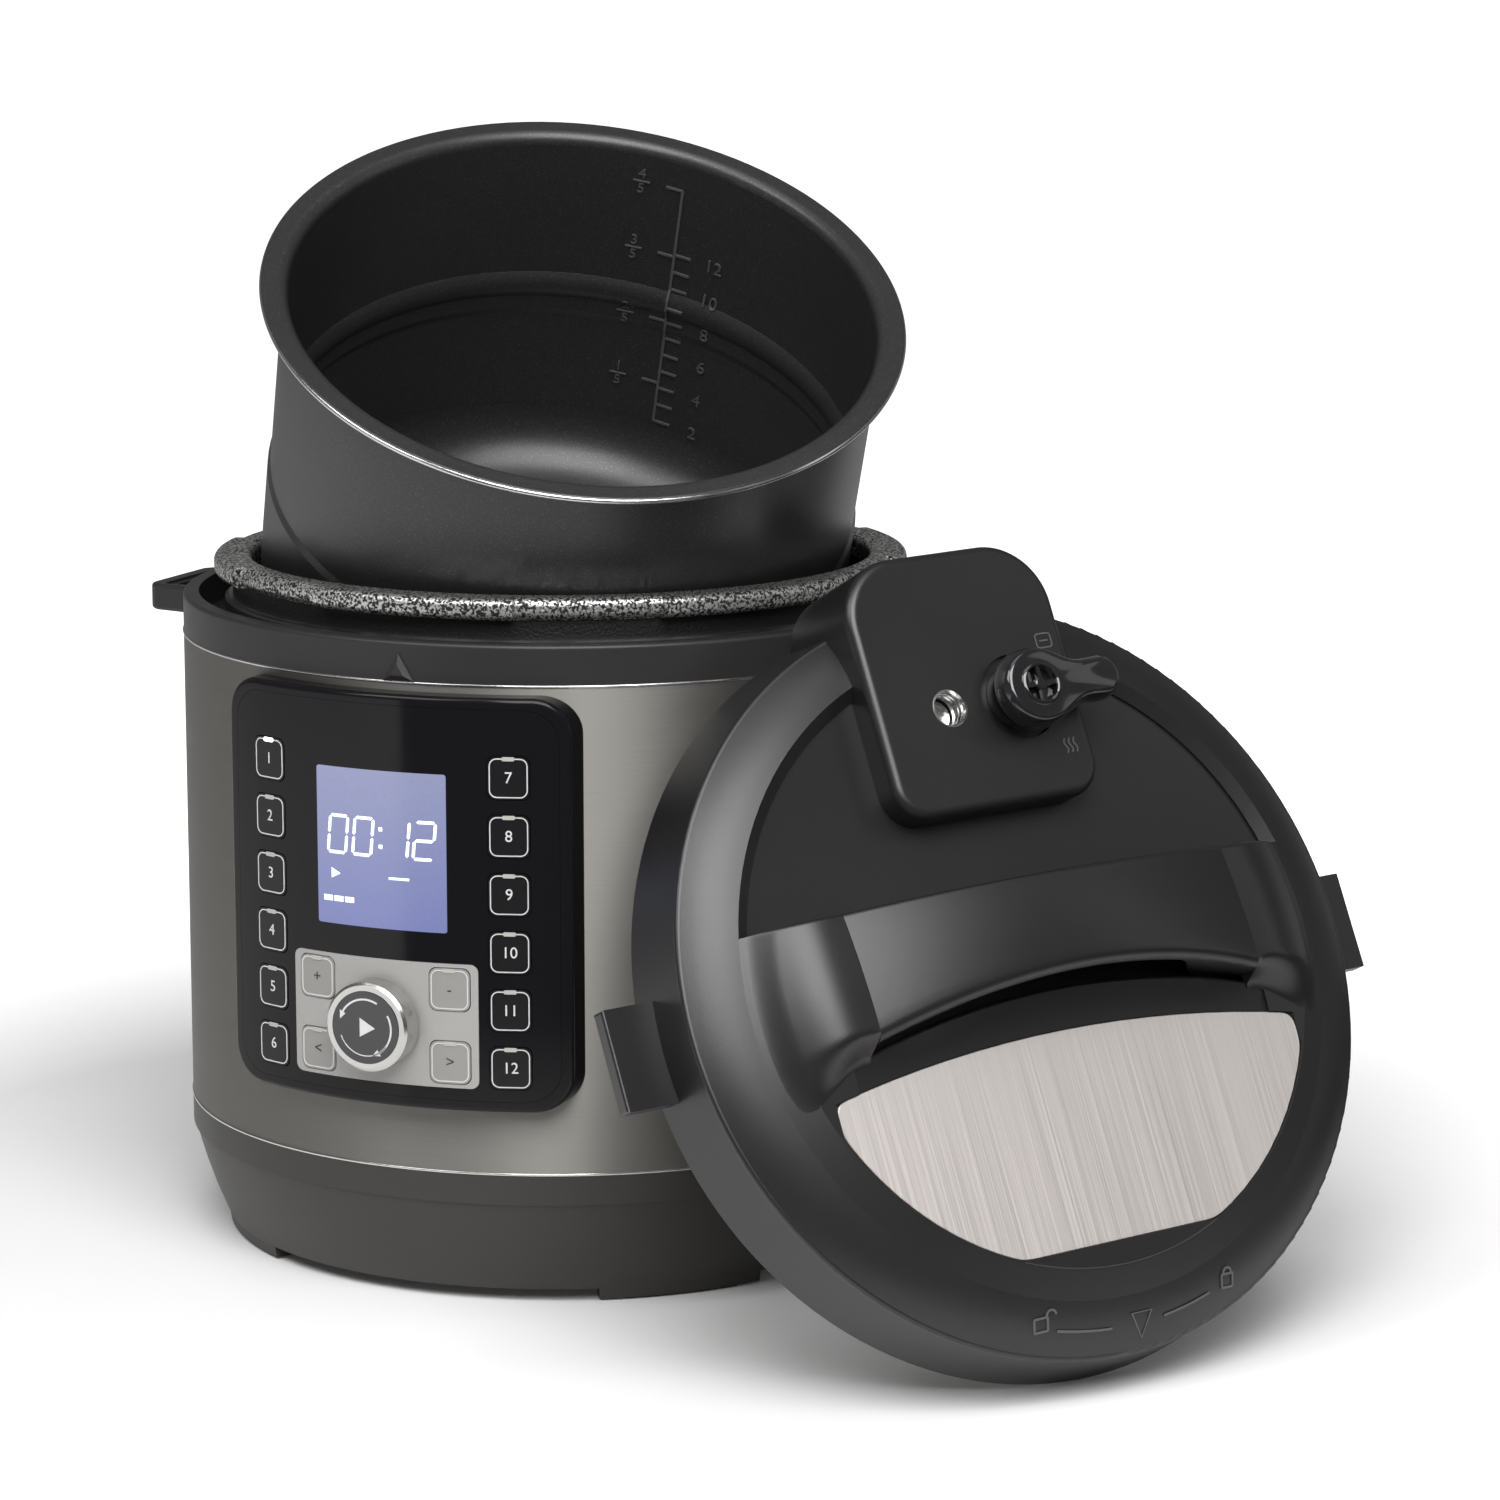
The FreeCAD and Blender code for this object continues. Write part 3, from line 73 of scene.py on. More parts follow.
Point = tuple[float, float]
Points = tuple[Point, ...]
Triple = tuple[float, float, float]
Colour = Triple
Place = Callable[[float, float, float], Vector]
Mesh = bpy.types.Mesh
Material = bpy.types.Material
Socket = bpy.types.NodeSocket
MM = 0.001
NOISE_LOW = 0.3
NOISE_HIGH = 0.7
UP = Vector((0, 0, 1))


def mm(*lengths: float) -> tuple[float, ...]:
    """Lengths in millimetres as metres."""
    return tuple(length * MM for length in lengths)


def even(start: float, end: float, count: int) -> list[float]:
    """Numbers from start to end in equal steps, with both ends."""
    return [start + (end - start) * i / count for i in range(count + 1)]


def once_round(count: int) -> list[float]:
    """Angles of equal steps once round."""
    return even(0.0, 2 * math.pi, count)[:-1]


def polar(reach: float, turn: float, level: float = 0.0) -> Vector:
    """Point at a distance, an angle and a height."""
    return Vector((reach * math.cos(turn), reach * math.sin(turn), level))


def stand(name: str, data: bpy.types.ID) -> bpy.types.Object:
    """Puts a mesh, curve, light or camera in the scene."""
    made = bpy.data.objects.new(name, data)
    bpy.context.scene.collection.objects.link(made)
    return made


def baked(thing: bpy.types.Object) -> Mesh:
    """Mesh of an object after its modifiers."""
    return bpy.data.meshes.new_from_object(thing.evaluated_get(bpy.context.evaluated_depsgraph_get()))


def skin(points: Sequence[Vector], faces: Sequence[tuple[int, ...]]) -> Mesh:
    """Mesh of points and faces."""
    mesh = bpy.data.meshes.new("skin")
    mesh.from_pydata(points, [], faces)
    mesh.update()
    return mesh


def screen_colour(red: int, green: int, blue: int) -> Colour:
    """Linear colour for a colour as a screen shows it.

    Args:
        red: Red, 0 to 255.
        green: Green, 0 to 255.
        blue: Blue, 0 to 255.

    Returns:
        The three linear channels.
    """
    channels = [value / 255 for value in (red, green, blue)]
    return tuple(c / 12.92 if c < 0.04045 else ((c + 0.055) / 1.055) ** 2.4 for c in channels)


class Canvas:
    """Node tree of a material or a world, with short calls for the nodes the finishes share."""

    def __init__(self, name: str, world: bool = False) -> None:
        """Starts with a plain shader.

        Args:
            name: Name of the material or world.
            world: True for a world.
        """
        self.material = (bpy.data.worlds if world else bpy.data.materials).new(name)
        self.material.use_nodes = True
        self.tree = self.material.node_tree
        self.surface = self.tree.nodes["Background" if world else "Principled BSDF"]
        self.coords = self.node("ShaderNodeTexCoord").outputs["Generated" if world else "Object"]

    def node(self, kind: str, **settings: object) -> bpy.types.Node:
        """Adds a node and sets its properties.

        Args:
            kind: The node's type name.
            settings: Properties to set on it.

        Returns:
            The new node.
        """
        made = self.tree.nodes.new(kind)
        for key, value in settings.items():
            setattr(made, key, value)
        return made

    def feed(self, socket: Socket, value: object) -> None:
        """Links a socket, or sets a plain value on it."""
        if isinstance(value, Socket):
            self.tree.links.new(value, socket)
        elif isinstance(value, tuple) and socket.type == "RGBA":
            socket.default_value = (*value, 1.0)
        else:
            socket.default_value = value

    def set(self, **values: object) -> None:
        """Sets inputs of the surface shader, with underscores for spaces."""
        for key, value in values.items():
            self.feed(self.surface.inputs[key.replace("_", " ")], value)

    def math(self, operation: str, first: object, second: object = 0.0) -> Socket:
        """Adds a sum, product or other scalar step.

        Args:
            operation: Name of the operation.
            first: First number or socket.
            second: Second number or socket.

        Returns:
            The result's socket.
        """
        made = self.node("ShaderNodeMath", operation=operation)
        self.feed(made.inputs[0], first)
        self.feed(made.inputs[1], second)
        return made.outputs[0]

    def noise(self, scale: float, detail: float = 4.0, vector: object = None) -> Socket:
        """Adds a noise pattern.

        Args:
            scale: How fine it is.
            detail: How many octaves it has.
            vector: Coordinates, or the piece's own.

        Returns:
            The pattern's socket.
        """
        made = self.node("ShaderNodeTexNoise")
        self.feed(made.inputs["Vector"], self.coords if vector is None else vector)
        made.inputs["Scale"].default_value = scale
        made.inputs["Detail"].default_value = detail
        return made.outputs["Fac"]

    def span(self, value: object, low: float, high: float, start: object, end: object) -> Socket:
        """Maps a range of numbers to another.

        Args:
            value: Number socket to map.
            low: Value that gives start.
            high: Value that gives end.
            start: First result.
            end: Last result.

        Returns:
            The mapped number's socket.
        """
        made = self.node("ShaderNodeMapRange")
        for socket, number in zip(made.inputs[:5], (value, low, high, start, end)):
            self.feed(socket, number)
        return made.outputs["Result"]

    def times(self, first: object, second: object) -> Socket:
        """Product of two numbers or sockets."""
        return self.math("MULTIPLY", first, second)

    def drift(self, pattern: Socket, start: float, end: float) -> Socket:
        """Maps the range that a noise pattern mostly fills."""
        return self.span(pattern, NOISE_LOW, NOISE_HIGH, start, end)

    def mix(self, share: object, first: object, second: object) -> Socket:
        """Blends two colours.

        Args:
            share: Share of the second colour.
            first: First colour or socket.
            second: Second colour or socket.

        Returns:
            The blended colour's socket.
        """
        made = self.node("ShaderNodeMix", data_type="RGBA")
        self.feed(made.inputs["Factor"], share)
        self.feed(made.inputs[6], first)
        self.feed(made.inputs[7], second)
        return made.outputs[2]

    def axis(self, direction: Vector) -> Socket:
        """Distance along a direction."""
        made = self.node("ShaderNodeVectorMath", operation="DOT_PRODUCT")
        self.feed(made.inputs[0], self.coords)
        made.inputs[1].default_value = direction
        return made.outputs["Value"]

    def join(self, first: object, second: object, third: object = 0.0) -> Socket:
        """Makes a vector of three numbers."""
        made = self.node("ShaderNodeCombineXYZ")
        for socket, value in zip(made.inputs, (first, second, third)):
            self.feed(socket, value)
        return made.outputs[0]

    def bump(self, height: object, strength: float, distance: float) -> None:
        """Gives the surface a fine relief."""
        made = self.node("ShaderNodeBump")
        made.inputs["Strength"].default_value = strength
        made.inputs["Distance"].default_value = distance
        self.feed(made.inputs["Height"], height)
        self.set(Normal=made.outputs["Normal"])


class Lay(Enum):
    """Way that a brushed metal's lines run."""

    ROUND_BASE = "round the base"
    ACROSS_LID = "across the lid"
    ROUND_DIAL = "round the dial"


@dataclass(frozen=True)
class Grained:
    """Finish whose colour and shine drift a little, under a fine grain."""

    name: str
    colour: Colour
    roughness: float = 0.42
    grain: float = 2600.0
    depth: float = 0.14
    shine: float = 0.45
    clouds: ClassVar[Point] = (9.0, 3.0)
    tints: ClassVar[Point] = (1.0, 1.18)
    spread: ClassVar[Point] = (0.04, 0.05)
    height: ClassVar[float] = 0.0004
    more: ClassVar[dict[str, float]] = {}

    def build(self) -> Material:
        """Makes the material."""
        canvas = Canvas(self.name)
        cloud = canvas.noise(*self.clouds)
        first, second = (tuple(c * tint for c in self.colour) for tint in self.tints)
        less, more = self.spread
        canvas.set(
            Base_Color=canvas.mix(cloud, first, second),
            Roughness=canvas.drift(cloud, self.roughness - less, self.roughness + more),
            Specular_IOR_Level=self.shine,
            **self.more,
        )
        canvas.bump(canvas.noise(self.grain, detail=2.0), self.depth, self.height)
        return canvas.material


@dataclass(frozen=True)
class SatinPlastic(Grained):
    """Moulded plastic."""


@dataclass(frozen=True)
class PlainMetal(Grained):
    """Bare metal with soft wear in its shine."""

    roughness: float = 0.3
    grain: float = 900.0
    depth: float = 0.04
    shine: float = 0.5
    clouds = (60.0, 6.0)
    tints = (0.85, 1.0)
    spread = (0.06, 0.08)
    height = 0.0003
    more = {"Metallic": 1.0}


@dataclass(frozen=True)
class Silicone(Grained):
    """Soft rubber or silicone with a dusty surface."""

    roughness: float = 0.6
    grain: float = 1400.0
    depth: float = 0.06
    shine: float = 0.5
    clouds = (120.0, 6.0)
    tints = (1.0, 1.15)
    spread = (0.06, 0.08)
    height = 0.0003
    more = {"Sheen_Weight": 0.15}


@dataclass(frozen=True)
class GlossPlastic:
    """Polished plastic with a clear coat and faint waviness."""

    name: str
    colour: Colour
    roughness: float = 0.12
    coat: float = 0.6
    shine: float = 0.5

    def build(self) -> Material:
        """Makes the material."""
        canvas = Canvas(self.name)
        smear = canvas.noise(scale=35.0, detail=5.0)
        canvas.set(
            Base_Color=self.colour,
            Roughness=canvas.span(smear, 0.35, 0.75, self.roughness, self.roughness + 0.06),
            Specular_IOR_Level=self.shine,
            Coat_Weight=self.coat,
            Coat_Roughness=0.05,
        )
        canvas.bump(canvas.noise(scale=14.0, detail=1.0), strength=0.02, distance=0.002)
        return canvas.material


@dataclass(frozen=True)
class BrushedSteel:
    """Steel with fine lines in one direction."""

    name: str
    colour: Colour
    lay: Lay
    roughness: float = 0.3
    across: Vector = field(default_factory=lambda: Vector((1, 0, 0)))
    along: Vector = field(default_factory=lambda: Vector((0, 1, 0)))
    fineness: float = 2400.0
    turn_scale: float = 3.0
    along_scale: float = 6.0
    centre: Vector = field(default_factory=lambda: Vector((0, 0, 0)))

    def lines(self, canvas: Canvas) -> Socket:
        """Coordinates that are stretched along the lines."""
        parts = canvas.node("ShaderNodeSeparateXYZ")
        canvas.feed(parts.inputs[0], canvas.coords)
        if self.lay is Lay.ROUND_BASE:
            angle = canvas.math("ARCTAN2", parts.outputs["Y"], parts.outputs["X"])
            return canvas.join(canvas.times(angle, self.turn_scale),
                               canvas.times(parts.outputs["Z"], self.fineness))
        if self.lay is Lay.ROUND_DIAL:
            side = canvas.math("SUBTRACT", parts.outputs["X"], self.centre.x)
            rise = canvas.math("SUBTRACT", parts.outputs["Z"], self.centre.z)
            square = canvas.math("ADD", canvas.times(side, side), canvas.times(rise, rise))
            return canvas.join(canvas.times(canvas.math("SQRT", square), self.fineness),
                               canvas.times(parts.outputs["Y"], self.fineness))
        return canvas.join(canvas.times(canvas.axis(self.along), self.along_scale),
                           canvas.times(canvas.axis(self.across), self.fineness))

    def build(self) -> Material:
        """Makes the material."""
        canvas = Canvas(self.name)
        streak = canvas.noise(scale=1.0, detail=5.0, vector=self.lines(canvas))
        darker = tuple(c * 0.84 for c in self.colour)
        canvas.set(
            Base_Color=canvas.mix(canvas.drift(streak, 0.0, 1.0), darker, self.colour),
            Metallic=1.0,
            Roughness=canvas.span(streak, 0.25, 0.75, self.roughness - 0.07, self.roughness + 0.09),
        )
        if self.lay is Lay.ROUND_BASE:
            round_axis = canvas.node("ShaderNodeTangent", direction_type="RADIAL", axis="Z").outputs[0]
            canvas.set(Anisotropic=0.85, Anisotropic_Rotation=0.25, Tangent=round_axis)
        canvas.bump(streak, strength=0.09, distance=0.0003)
        return canvas.material


@dataclass(frozen=True)
class Hammertone:
    """Dark casting with a bright speckle, which is left out below a set height as painted shade on the ring's
    neck.
    """

    name: str
    dark: Colour
    bright: Colour
    bare_level: float
    scale: float = 900.0

    def build(self) -> Material:
        """Makes the material."""
        canvas = Canvas(self.name)
        speckle = canvas.noise(self.scale, detail=3.0)
        # Below this height only the dark colour is used: painted shade on the neck under the ring.
        above = canvas.math("GREATER_THAN", canvas.axis(UP), self.bare_level)
        share = canvas.times(canvas.span(speckle, 0.46, 0.56, 0.0, 1.0), above)
        canvas.set(
            Base_Color=canvas.mix(share, self.dark, self.bright),
            Metallic=canvas.span(share, 0.0, 1.0, 0.35, 0.9),
            Roughness=canvas.span(share, 0.0, 1.0, 0.5, 0.28),
        )
        canvas.bump(speckle, strength=0.45, distance=0.0008)
        return canvas.material


@dataclass(frozen=True)
class NonStick:
    """Dark pot coating with a fine sparkle."""

    name: str
    colour: Colour
    sparkle: Colour
    roughness: float = 0.3

    def build(self) -> Material:
        """Makes the material."""
        canvas = Canvas(self.name)
        fleck = canvas.noise(scale=3200.0, detail=1.0)
        share = canvas.span(fleck, 0.66, 0.74, 0.0, 1.0)
        cloud = canvas.noise(scale=14.0, detail=3.0)
        canvas.set(
            Base_Color=canvas.mix(share, self.colour, self.sparkle),
            Metallic=canvas.times(share, 0.6),
            Roughness=canvas.drift(cloud, self.roughness - 0.03, self.roughness + 0.05),
            Specular_IOR_Level=0.6,
        )
        canvas.bump(fleck, strength=0.08, distance=0.0003)
        return canvas.material


@dataclass(frozen=True)
class LitScreen:
    """Back-lit display that shades from its top to its bottom."""

    name: str
    top: Colour
    bottom: Colour
    low: float
    high: float
    strength: float = 0.78

    def build(self) -> Material:
        """Makes the material."""
        canvas = Canvas(self.name)
        height = canvas.axis(UP)
        glow = canvas.mix(canvas.span(height, self.low, self.high, 0.0, 1.0), self.bottom, self.top)
        grid = canvas.noise(scale=1500.0, detail=1.0)
        canvas.set(
            Base_Color=(0.02, 0.02, 0.05),
            Roughness=0.2,
            Emission_Color=glow,
            Emission_Strength=canvas.drift(grid, self.strength - 0.03, self.strength + 0.03),
        )
        return canvas.material


@dataclass(frozen=True)
class Ink:
    """Printed or lit mark."""

    name: str
    colour: Colour
    glow: float = 0.0
    roughness: float = 0.5

    def build(self) -> Material:
        """Makes the material."""
        canvas = Canvas(self.name)
        mottle = canvas.noise(scale=800.0, detail=2.0)
        canvas.set(
            Base_Color=canvas.mix(mottle, tuple(c * 0.92 for c in self.colour), self.colour),
            Roughness=self.roughness,
        )
        if self.glow:
            canvas.set(Emission_Color=self.colour, Emission_Strength=self.glow)
        return canvas.material


class Relief:
    """Flat marks with a little thickness, gathered into one mesh on a surface."""

    font_scale: ClassVar[float] = 1.4

    def __init__(self, place: Place, rise: float = 0.12 * MM, sink: float = 0.05 * MM) -> None:
        """Starts with no marks.

        Args:
            place: Takes two lengths on the surface and a lift to a point.
            rise: How far the marks stand out.
            sink: How far they reach into the surface.
        """
        self.place = place
        self.rise = rise
        self.sink = sink
        self.points: list[Vector] = []
        self.faces: list[tuple[int, ...]] = []

    def _rows(self, outline: Sequence[Point]) -> tuple[list[int], list[int]]:
        """Adds an outline at the top and at the bottom.

        Args:
            outline: Points on the surface.

        Returns:
            Indices of the upper and of the lower points.
        """
        start = len(self.points)
        count = len(outline)
        for lift in (self.rise, -self.sink):
            self.points += [self.place(u, v, lift) for u, v in outline]
        return list(range(start, start + count)), list(range(start + count, start + 2 * count))

    def patch(self, outline: Sequence[Point]) -> None:
        """Adds a filled shape."""
        area = sum(a[0] * b[1] - b[0] * a[1] for a, b in zip(outline, [*outline[1:], outline[0]]))
        ordered = list(outline) if area > 0 else list(reversed(outline))
        top, low = self._rows(ordered)
        self.faces.append(tuple(top))
        self.faces.append(tuple(reversed(low)))
        for i, k in enumerate([*range(1, len(top)), 0]):
            self.faces.append((low[i], low[k], top[k], top[i]))

    def line(self, path: Sequence[Point], width: float, closed: bool = False) -> None:
        """Adds a stroke of even width.

        Args:
            path: Points along its middle.
            width: Width of the stroke.
            closed: True if the end joins the start.
        """
        count = len(path)
        left, right = [], []
        for i, (u, v) in enumerate(path):
            before = path[i - 1] if closed or i else path[i]
            after = path[(i + 1) % count] if closed or i < count - 1 else path[i]
            tangent = Vector((after[0] - before[0], after[1] - before[1])).normalized()
            side = Vector((-tangent.y, tangent.x)) * width / 2
            left.append((u + side.x, v + side.y))
            right.append((u - side.x, v - side.y))
        left_top, left_low = self._rows(left)
        right_top, right_low = self._rows(right)
        rows = (right_top, left_top, left_low, right_low)
        for i in range(count if closed else count - 1):
            k = (i + 1) % count
            for a, b in zip(rows, (*rows[1:], right_top)):
                self.faces.append((a[i], a[k], b[k], b[i]))
        if not closed:
            self.faces.append((left_low[0], right_low[0], right_top[0], left_top[0]))
            self.faces.append((right_low[-1], left_low[-1], left_top[-1], right_top[-1]))

    def text(self, words: str, height: float, u: float, v: float) -> None:
        """Adds plain figures centred on a point.

        Args:
            words: The figures.
            height: Height of a figure.
            u: Middle across.
            v: Middle up.
        """
        curve = bpy.data.curves.new("figures", "FONT")
        curve.body = words
        curve.size = height * self.font_scale
        curve.align_x = "CENTER"
        curve.align_y = "CENTER"
        curve.extrude = (self.rise + self.sink) / 2
        curve.resolution_u = 3
        carrier = stand("figures", curve)
        shape = baked(carrier)
        start = len(self.points)
        middle = (self.rise - self.sink) / 2
        self.points += [self.place(u + p.co.x, v + p.co.y, middle + p.co.z) for p in shape.vertices]
        self.faces += [tuple(start + i for i in face.vertices) for face in shape.polygons]
        bpy.data.objects.remove(carrier)
        bpy.data.curves.remove(curve)
        bpy.data.meshes.remove(shape)

    def mesh(self) -> Mesh:
        """The marks as one mesh."""
        return skin(self.points, self.faces)


def smooth(mesh: Mesh) -> None:
    """Shades every face of a mesh smoothly."""
    for face in mesh.polygons:
        face.use_smooth = True


def bead(reach: float, level: float, out: float, up: float, sides: int) -> list[Point]:
    """Round section of a ring.

    Args:
        reach: Distance of its middle from the axis.
        level: Height of its middle.
        out: Half its width.
        up: Half its height.
        sides: Number of its sides.

    Returns:
        Radius and height of its points, anticlockwise.
    """
    return [(reach + out * math.cos(t), level + up * math.sin(t)) for t in once_round(sides)]


def lathe(profile: Sequence[Point], steps: int, matrix: Matrix) -> Mesh:
    """Closed ring turned about an axis.

    Args:
        profile: Radius and height round the ring's section, anticlockwise.
        steps: Sides round the axis.
        matrix: Places the axis.

    Returns:
        The mesh, in the row frame.
    """
    points, faces = [], []
    count = len(profile)
    for i, turn in enumerate(once_round(steps)):
        points += [matrix @ polar(r, turn, z) for r, z in profile]
        k = (i + 1) % steps
        faces += [(i * count + j, k * count + j, k * count + (j + 1) % count, i * count + (j + 1) % count)
                  for j in range(count)]
    mesh = skin(points, faces)
    smooth(mesh)
    return mesh


def ease(share: float) -> float:
    """Smooth step from 0 to 1."""
    held = min(max(share, 0.0), 1.0)
    return held * held * (3 - 2 * held)


def gather(meshes: Sequence[Mesh], crease: float = 32.0) -> Mesh:
    """Makes closed skins one mesh that faces outwards.

    Args:
        meshes: The skins, which are used up.
        crease: Edges that turn by more degrees than this stay sharp.

    Returns:
        The joined mesh.
    """
    whole = bmesh.new()
    for mesh in meshes:
        whole.from_mesh(mesh)
        bpy.data.meshes.remove(mesh)
    bmesh.ops.recalc_face_normals(whole, faces=whole.faces)
    made = bpy.data.meshes.new("whole")
    whole.to_mesh(made)
    whole.free()
    smooth(made)
    made.set_sharp_from_angle(angle=math.radians(crease))
    return made


def loft(rings: Sequence[Sequence[Vector]]) -> Mesh:
    """Closed skin through rings of equal count, with its two ends filled."""
    count = len(rings[0])
    points = [point for ring in rings for point in ring]
    faces = [tuple(range(count)), tuple(range(len(points) - count, len(points)))]
    for start in range(0, len(points) - count, count):
        for j in range(count):
            k = (j + 1) % count
            faces.append((start + j, start + k, start + count + k, start + count + j))
    return skin(points, faces)


def rounded(width: float, height: float, radius: float, u: float, v: float, steps: int = 5) -> list[Point]:
    """Rectangle with round corners.

    Args:
        width: Full width.
        height: Full height.
        radius: Corner radius.
        u: Middle across.
        v: Middle up.
        steps: Parts of each corner.

    Returns:
        Points round it, anticlockwise.
    """
    points = []
    for corner, (sx, sy) in enumerate(((1, 1), (-1, 1), (-1, -1), (1, -1))):
        for turn in even(math.pi / 2 * corner, math.pi / 2 * (corner + 1), steps):
            points.append((u + sx * (width / 2 - radius) + radius * math.cos(turn),
                           v + sy * (height / 2 - radius) + radius * math.sin(turn)))
    return points


def arc(radius: float, start: float, end: float, u: float = 0, v: float = 0, steps: int = 24) -> list[Point]:
    """Points along part of a circle, in degrees."""
    turns = [math.radians(turn) for turn in even(start, end, steps)]
    return [(u + radius * math.cos(t), v + radius * math.sin(t)) for t in turns]


class BarRow:
    """Geometry Nodes tree that sets equal bars along a straight row."""

    def __init__(self) -> None:
        """Builds the tree with its named inputs."""
        tree = bpy.data.node_groups.new("bar_row", "GeometryNodeTree")
        self.tree = tree
        self.inputs = {}
        for name, kind in (("Count", "NodeSocketInt"), ("Step", "NodeSocketVector"),
                           ("Bar Size", "NodeSocketVector"), ("Finish", "NodeSocketMaterial")):
            made = tree.interface.new_socket(name=name, in_out="INPUT", socket_type=kind)
            self.inputs[name] = made.identifier
        tree.interface.new_socket(name="Geometry", in_out="OUTPUT", socket_type="NodeSocketGeometry")
        source = tree.nodes.new("NodeGroupInput")
        line = tree.nodes.new("GeometryNodeMeshLine")
        bar = tree.nodes.new("GeometryNodeMeshCube")
        spread = tree.nodes.new("GeometryNodeInstanceOnPoints")
        real = tree.nodes.new("GeometryNodeRealizeInstances")
        dress = tree.nodes.new("GeometryNodeSetMaterial")
        result = tree.nodes.new("NodeGroupOutput")
        for start, end in (
            (source.outputs["Count"], line.inputs["Count"]),
            (source.outputs["Step"], line.inputs["Offset"]),
            (source.outputs["Bar Size"], bar.inputs["Size"]),
            (line.outputs["Mesh"], spread.inputs["Points"]),
            (bar.outputs["Mesh"], spread.inputs["Instance"]),
            (spread.outputs["Instances"], real.inputs["Geometry"]),
            (real.outputs["Geometry"], dress.inputs["Geometry"]),
            (source.outputs["Finish"], dress.inputs["Material"]),
            (dress.outputs["Geometry"], result.inputs["Geometry"]),
        ):
            tree.links.new(start, end)

    def bake(self, name: str, count: int, step: Vector, size: Vector, start: Point,
             place: Place, material: Material) -> Mesh:
        """Runs the tree and lays its bars on a surface.

        Args:
            name: Mesh's name.
            count: Number of bars.
            step: From one bar to the next, on the surface.
            size: Size of a bar across, up and out.
            start: Middle of the first bar.
            place: Takes surface lengths and a lift to a point.
            material: Finish of the bars.

        Returns:
            The mesh, in the row frame.
        """
        carrier = stand(name, bpy.data.meshes.new(name))
        run = carrier.modifiers.new("bars", "NODES")
        run.node_group = self.tree
        for key, value in (("Count", count), ("Step", step), ("Bar Size", size), ("Finish", material)):
            run[self.inputs[key]] = value
        bpy.context.view_layer.update()
        shape = baked(carrier)
        carrier.modifiers.clear()
        bpy.data.objects.remove(carrier)
        for point in shape.vertices:
            point.co = place(start[0] + point.co.x, start[1] + point.co.y, point.co.z)
        shape.name = name
        shape.update()
        return shape


@dataclass
class Palette:
    """Every finish on the cooker, made once."""

    lid_frame: Matrix
    dial_centre: Vector
    screen_low: float
    screen_high: float

    def finishes(self) -> list[object]:
        """The finishes in order."""
        across = Vector(self.lid_frame.col[1][:3])
        along = Vector(self.lid_frame.col[0][:3])
        return [
            SatinPlastic("housing_satin", (0.030, 0.028, 0.025), 0.46),
            SatinPlastic("lid_satin", (0.008, 0.008, 0.0085), 0.34, 3000.0, 0.12, 0.62),
            SatinPlastic("grip_satin", (0.008, 0.008, 0.0085), 0.33, 3000.0, 0.10, 0.62),
            SatinPlastic("collar_satin", (0.017, 0.017, 0.017), 0.4),
            GlossPlastic("panel_gloss", (0.006, 0.006, 0.007), 0.1, 0.05, 0.2),
            GlossPlastic("key_gloss", (0.010, 0.010, 0.011), 0.2, 0.08, 0.25),
            GlossPlastic("knob_gloss", (0.009, 0.009, 0.010), 0.1, 0.8),
            GlossPlastic("cup_smoke", (0.20, 0.21, 0.22), 0.12, 0.4),
            SatinPlastic("plate_silver", (0.30, 0.295, 0.285), 0.38, 2200.0, 0.05),
            SatinPlastic("key_silver", (0.24, 0.235, 0.225), 0.42, 2200.0, 0.05),
            BrushedSteel("band_steel", (0.30, 0.29, 0.27), Lay.ROUND_BASE, 0.55),
            BrushedSteel("label_steel", (0.95, 0.89, 0.86), Lay.ACROSS_LID, 0.5, along, across),
            BrushedSteel("dial_steel", (0.66, 0.65, 0.63), Lay.ROUND_DIAL, 0.2, centre=self.dial_centre),
            PlainMetal("bright_metal", (0.72, 0.72, 0.71), 0.18),
            PlainMetal("bare_steel", (0.55, 0.55, 0.54), 0.3),
            PlainMetal("well_metal", (0.50, 0.50, 0.50), 0.34),
            PlainMetal("plate_metal", (0.46, 0.46, 0.46), 0.4),
            PlainMetal("pin_brass", (0.72, 0.56, 0.26), 0.25),
            # The speckle stops at 253.6 mm; below it the ring's neck is painted dark as shade.
            Hammertone("ring_hammertone", (0.012, 0.012, 0.012), (0.72, 0.72, 0.70), 253.6 * MM),
            NonStick("pot_coating", (0.019, 0.019, 0.020), (0.20, 0.20, 0.21), 0.34),
            # Lighter than the pot's coating: a painted highlight on the raised scale marks.
            NonStick("scale_coating", (0.075, 0.075, 0.077), (0.3, 0.3, 0.31), 0.3),
            LitScreen("screen_glow", screen_colour(164, 170, 203), screen_colour(134, 142, 196),
                      self.screen_low, self.screen_high),
            Ink("screen_figures", screen_colour(232, 236, 255), 1.0),
            Ink("key_print", (0.62, 0.62, 0.62)),
            Ink("dark_print", (0.035, 0.035, 0.035)),
            Ink("lamp_off", (0.42, 0.41, 0.38), 0.04),
            Ink("lamp_on", (1.0, 1.0, 1.0), 3.0),
            Ink("lid_print", (0.085, 0.085, 0.085), 0.0, 0.4),
            Silicone("seal_silicone", (0.50, 0.50, 0.48)),
            Silicone("foot_rubber", (0.02, 0.02, 0.02), 0.7),
            SatinPlastic("board_green", (0.02, 0.12, 0.05), 0.5),
        ]

    def build(self) -> dict[str, Material]:
        """Makes every material by name."""
        return {finish.name: finish.build() for finish in self.finishes()}


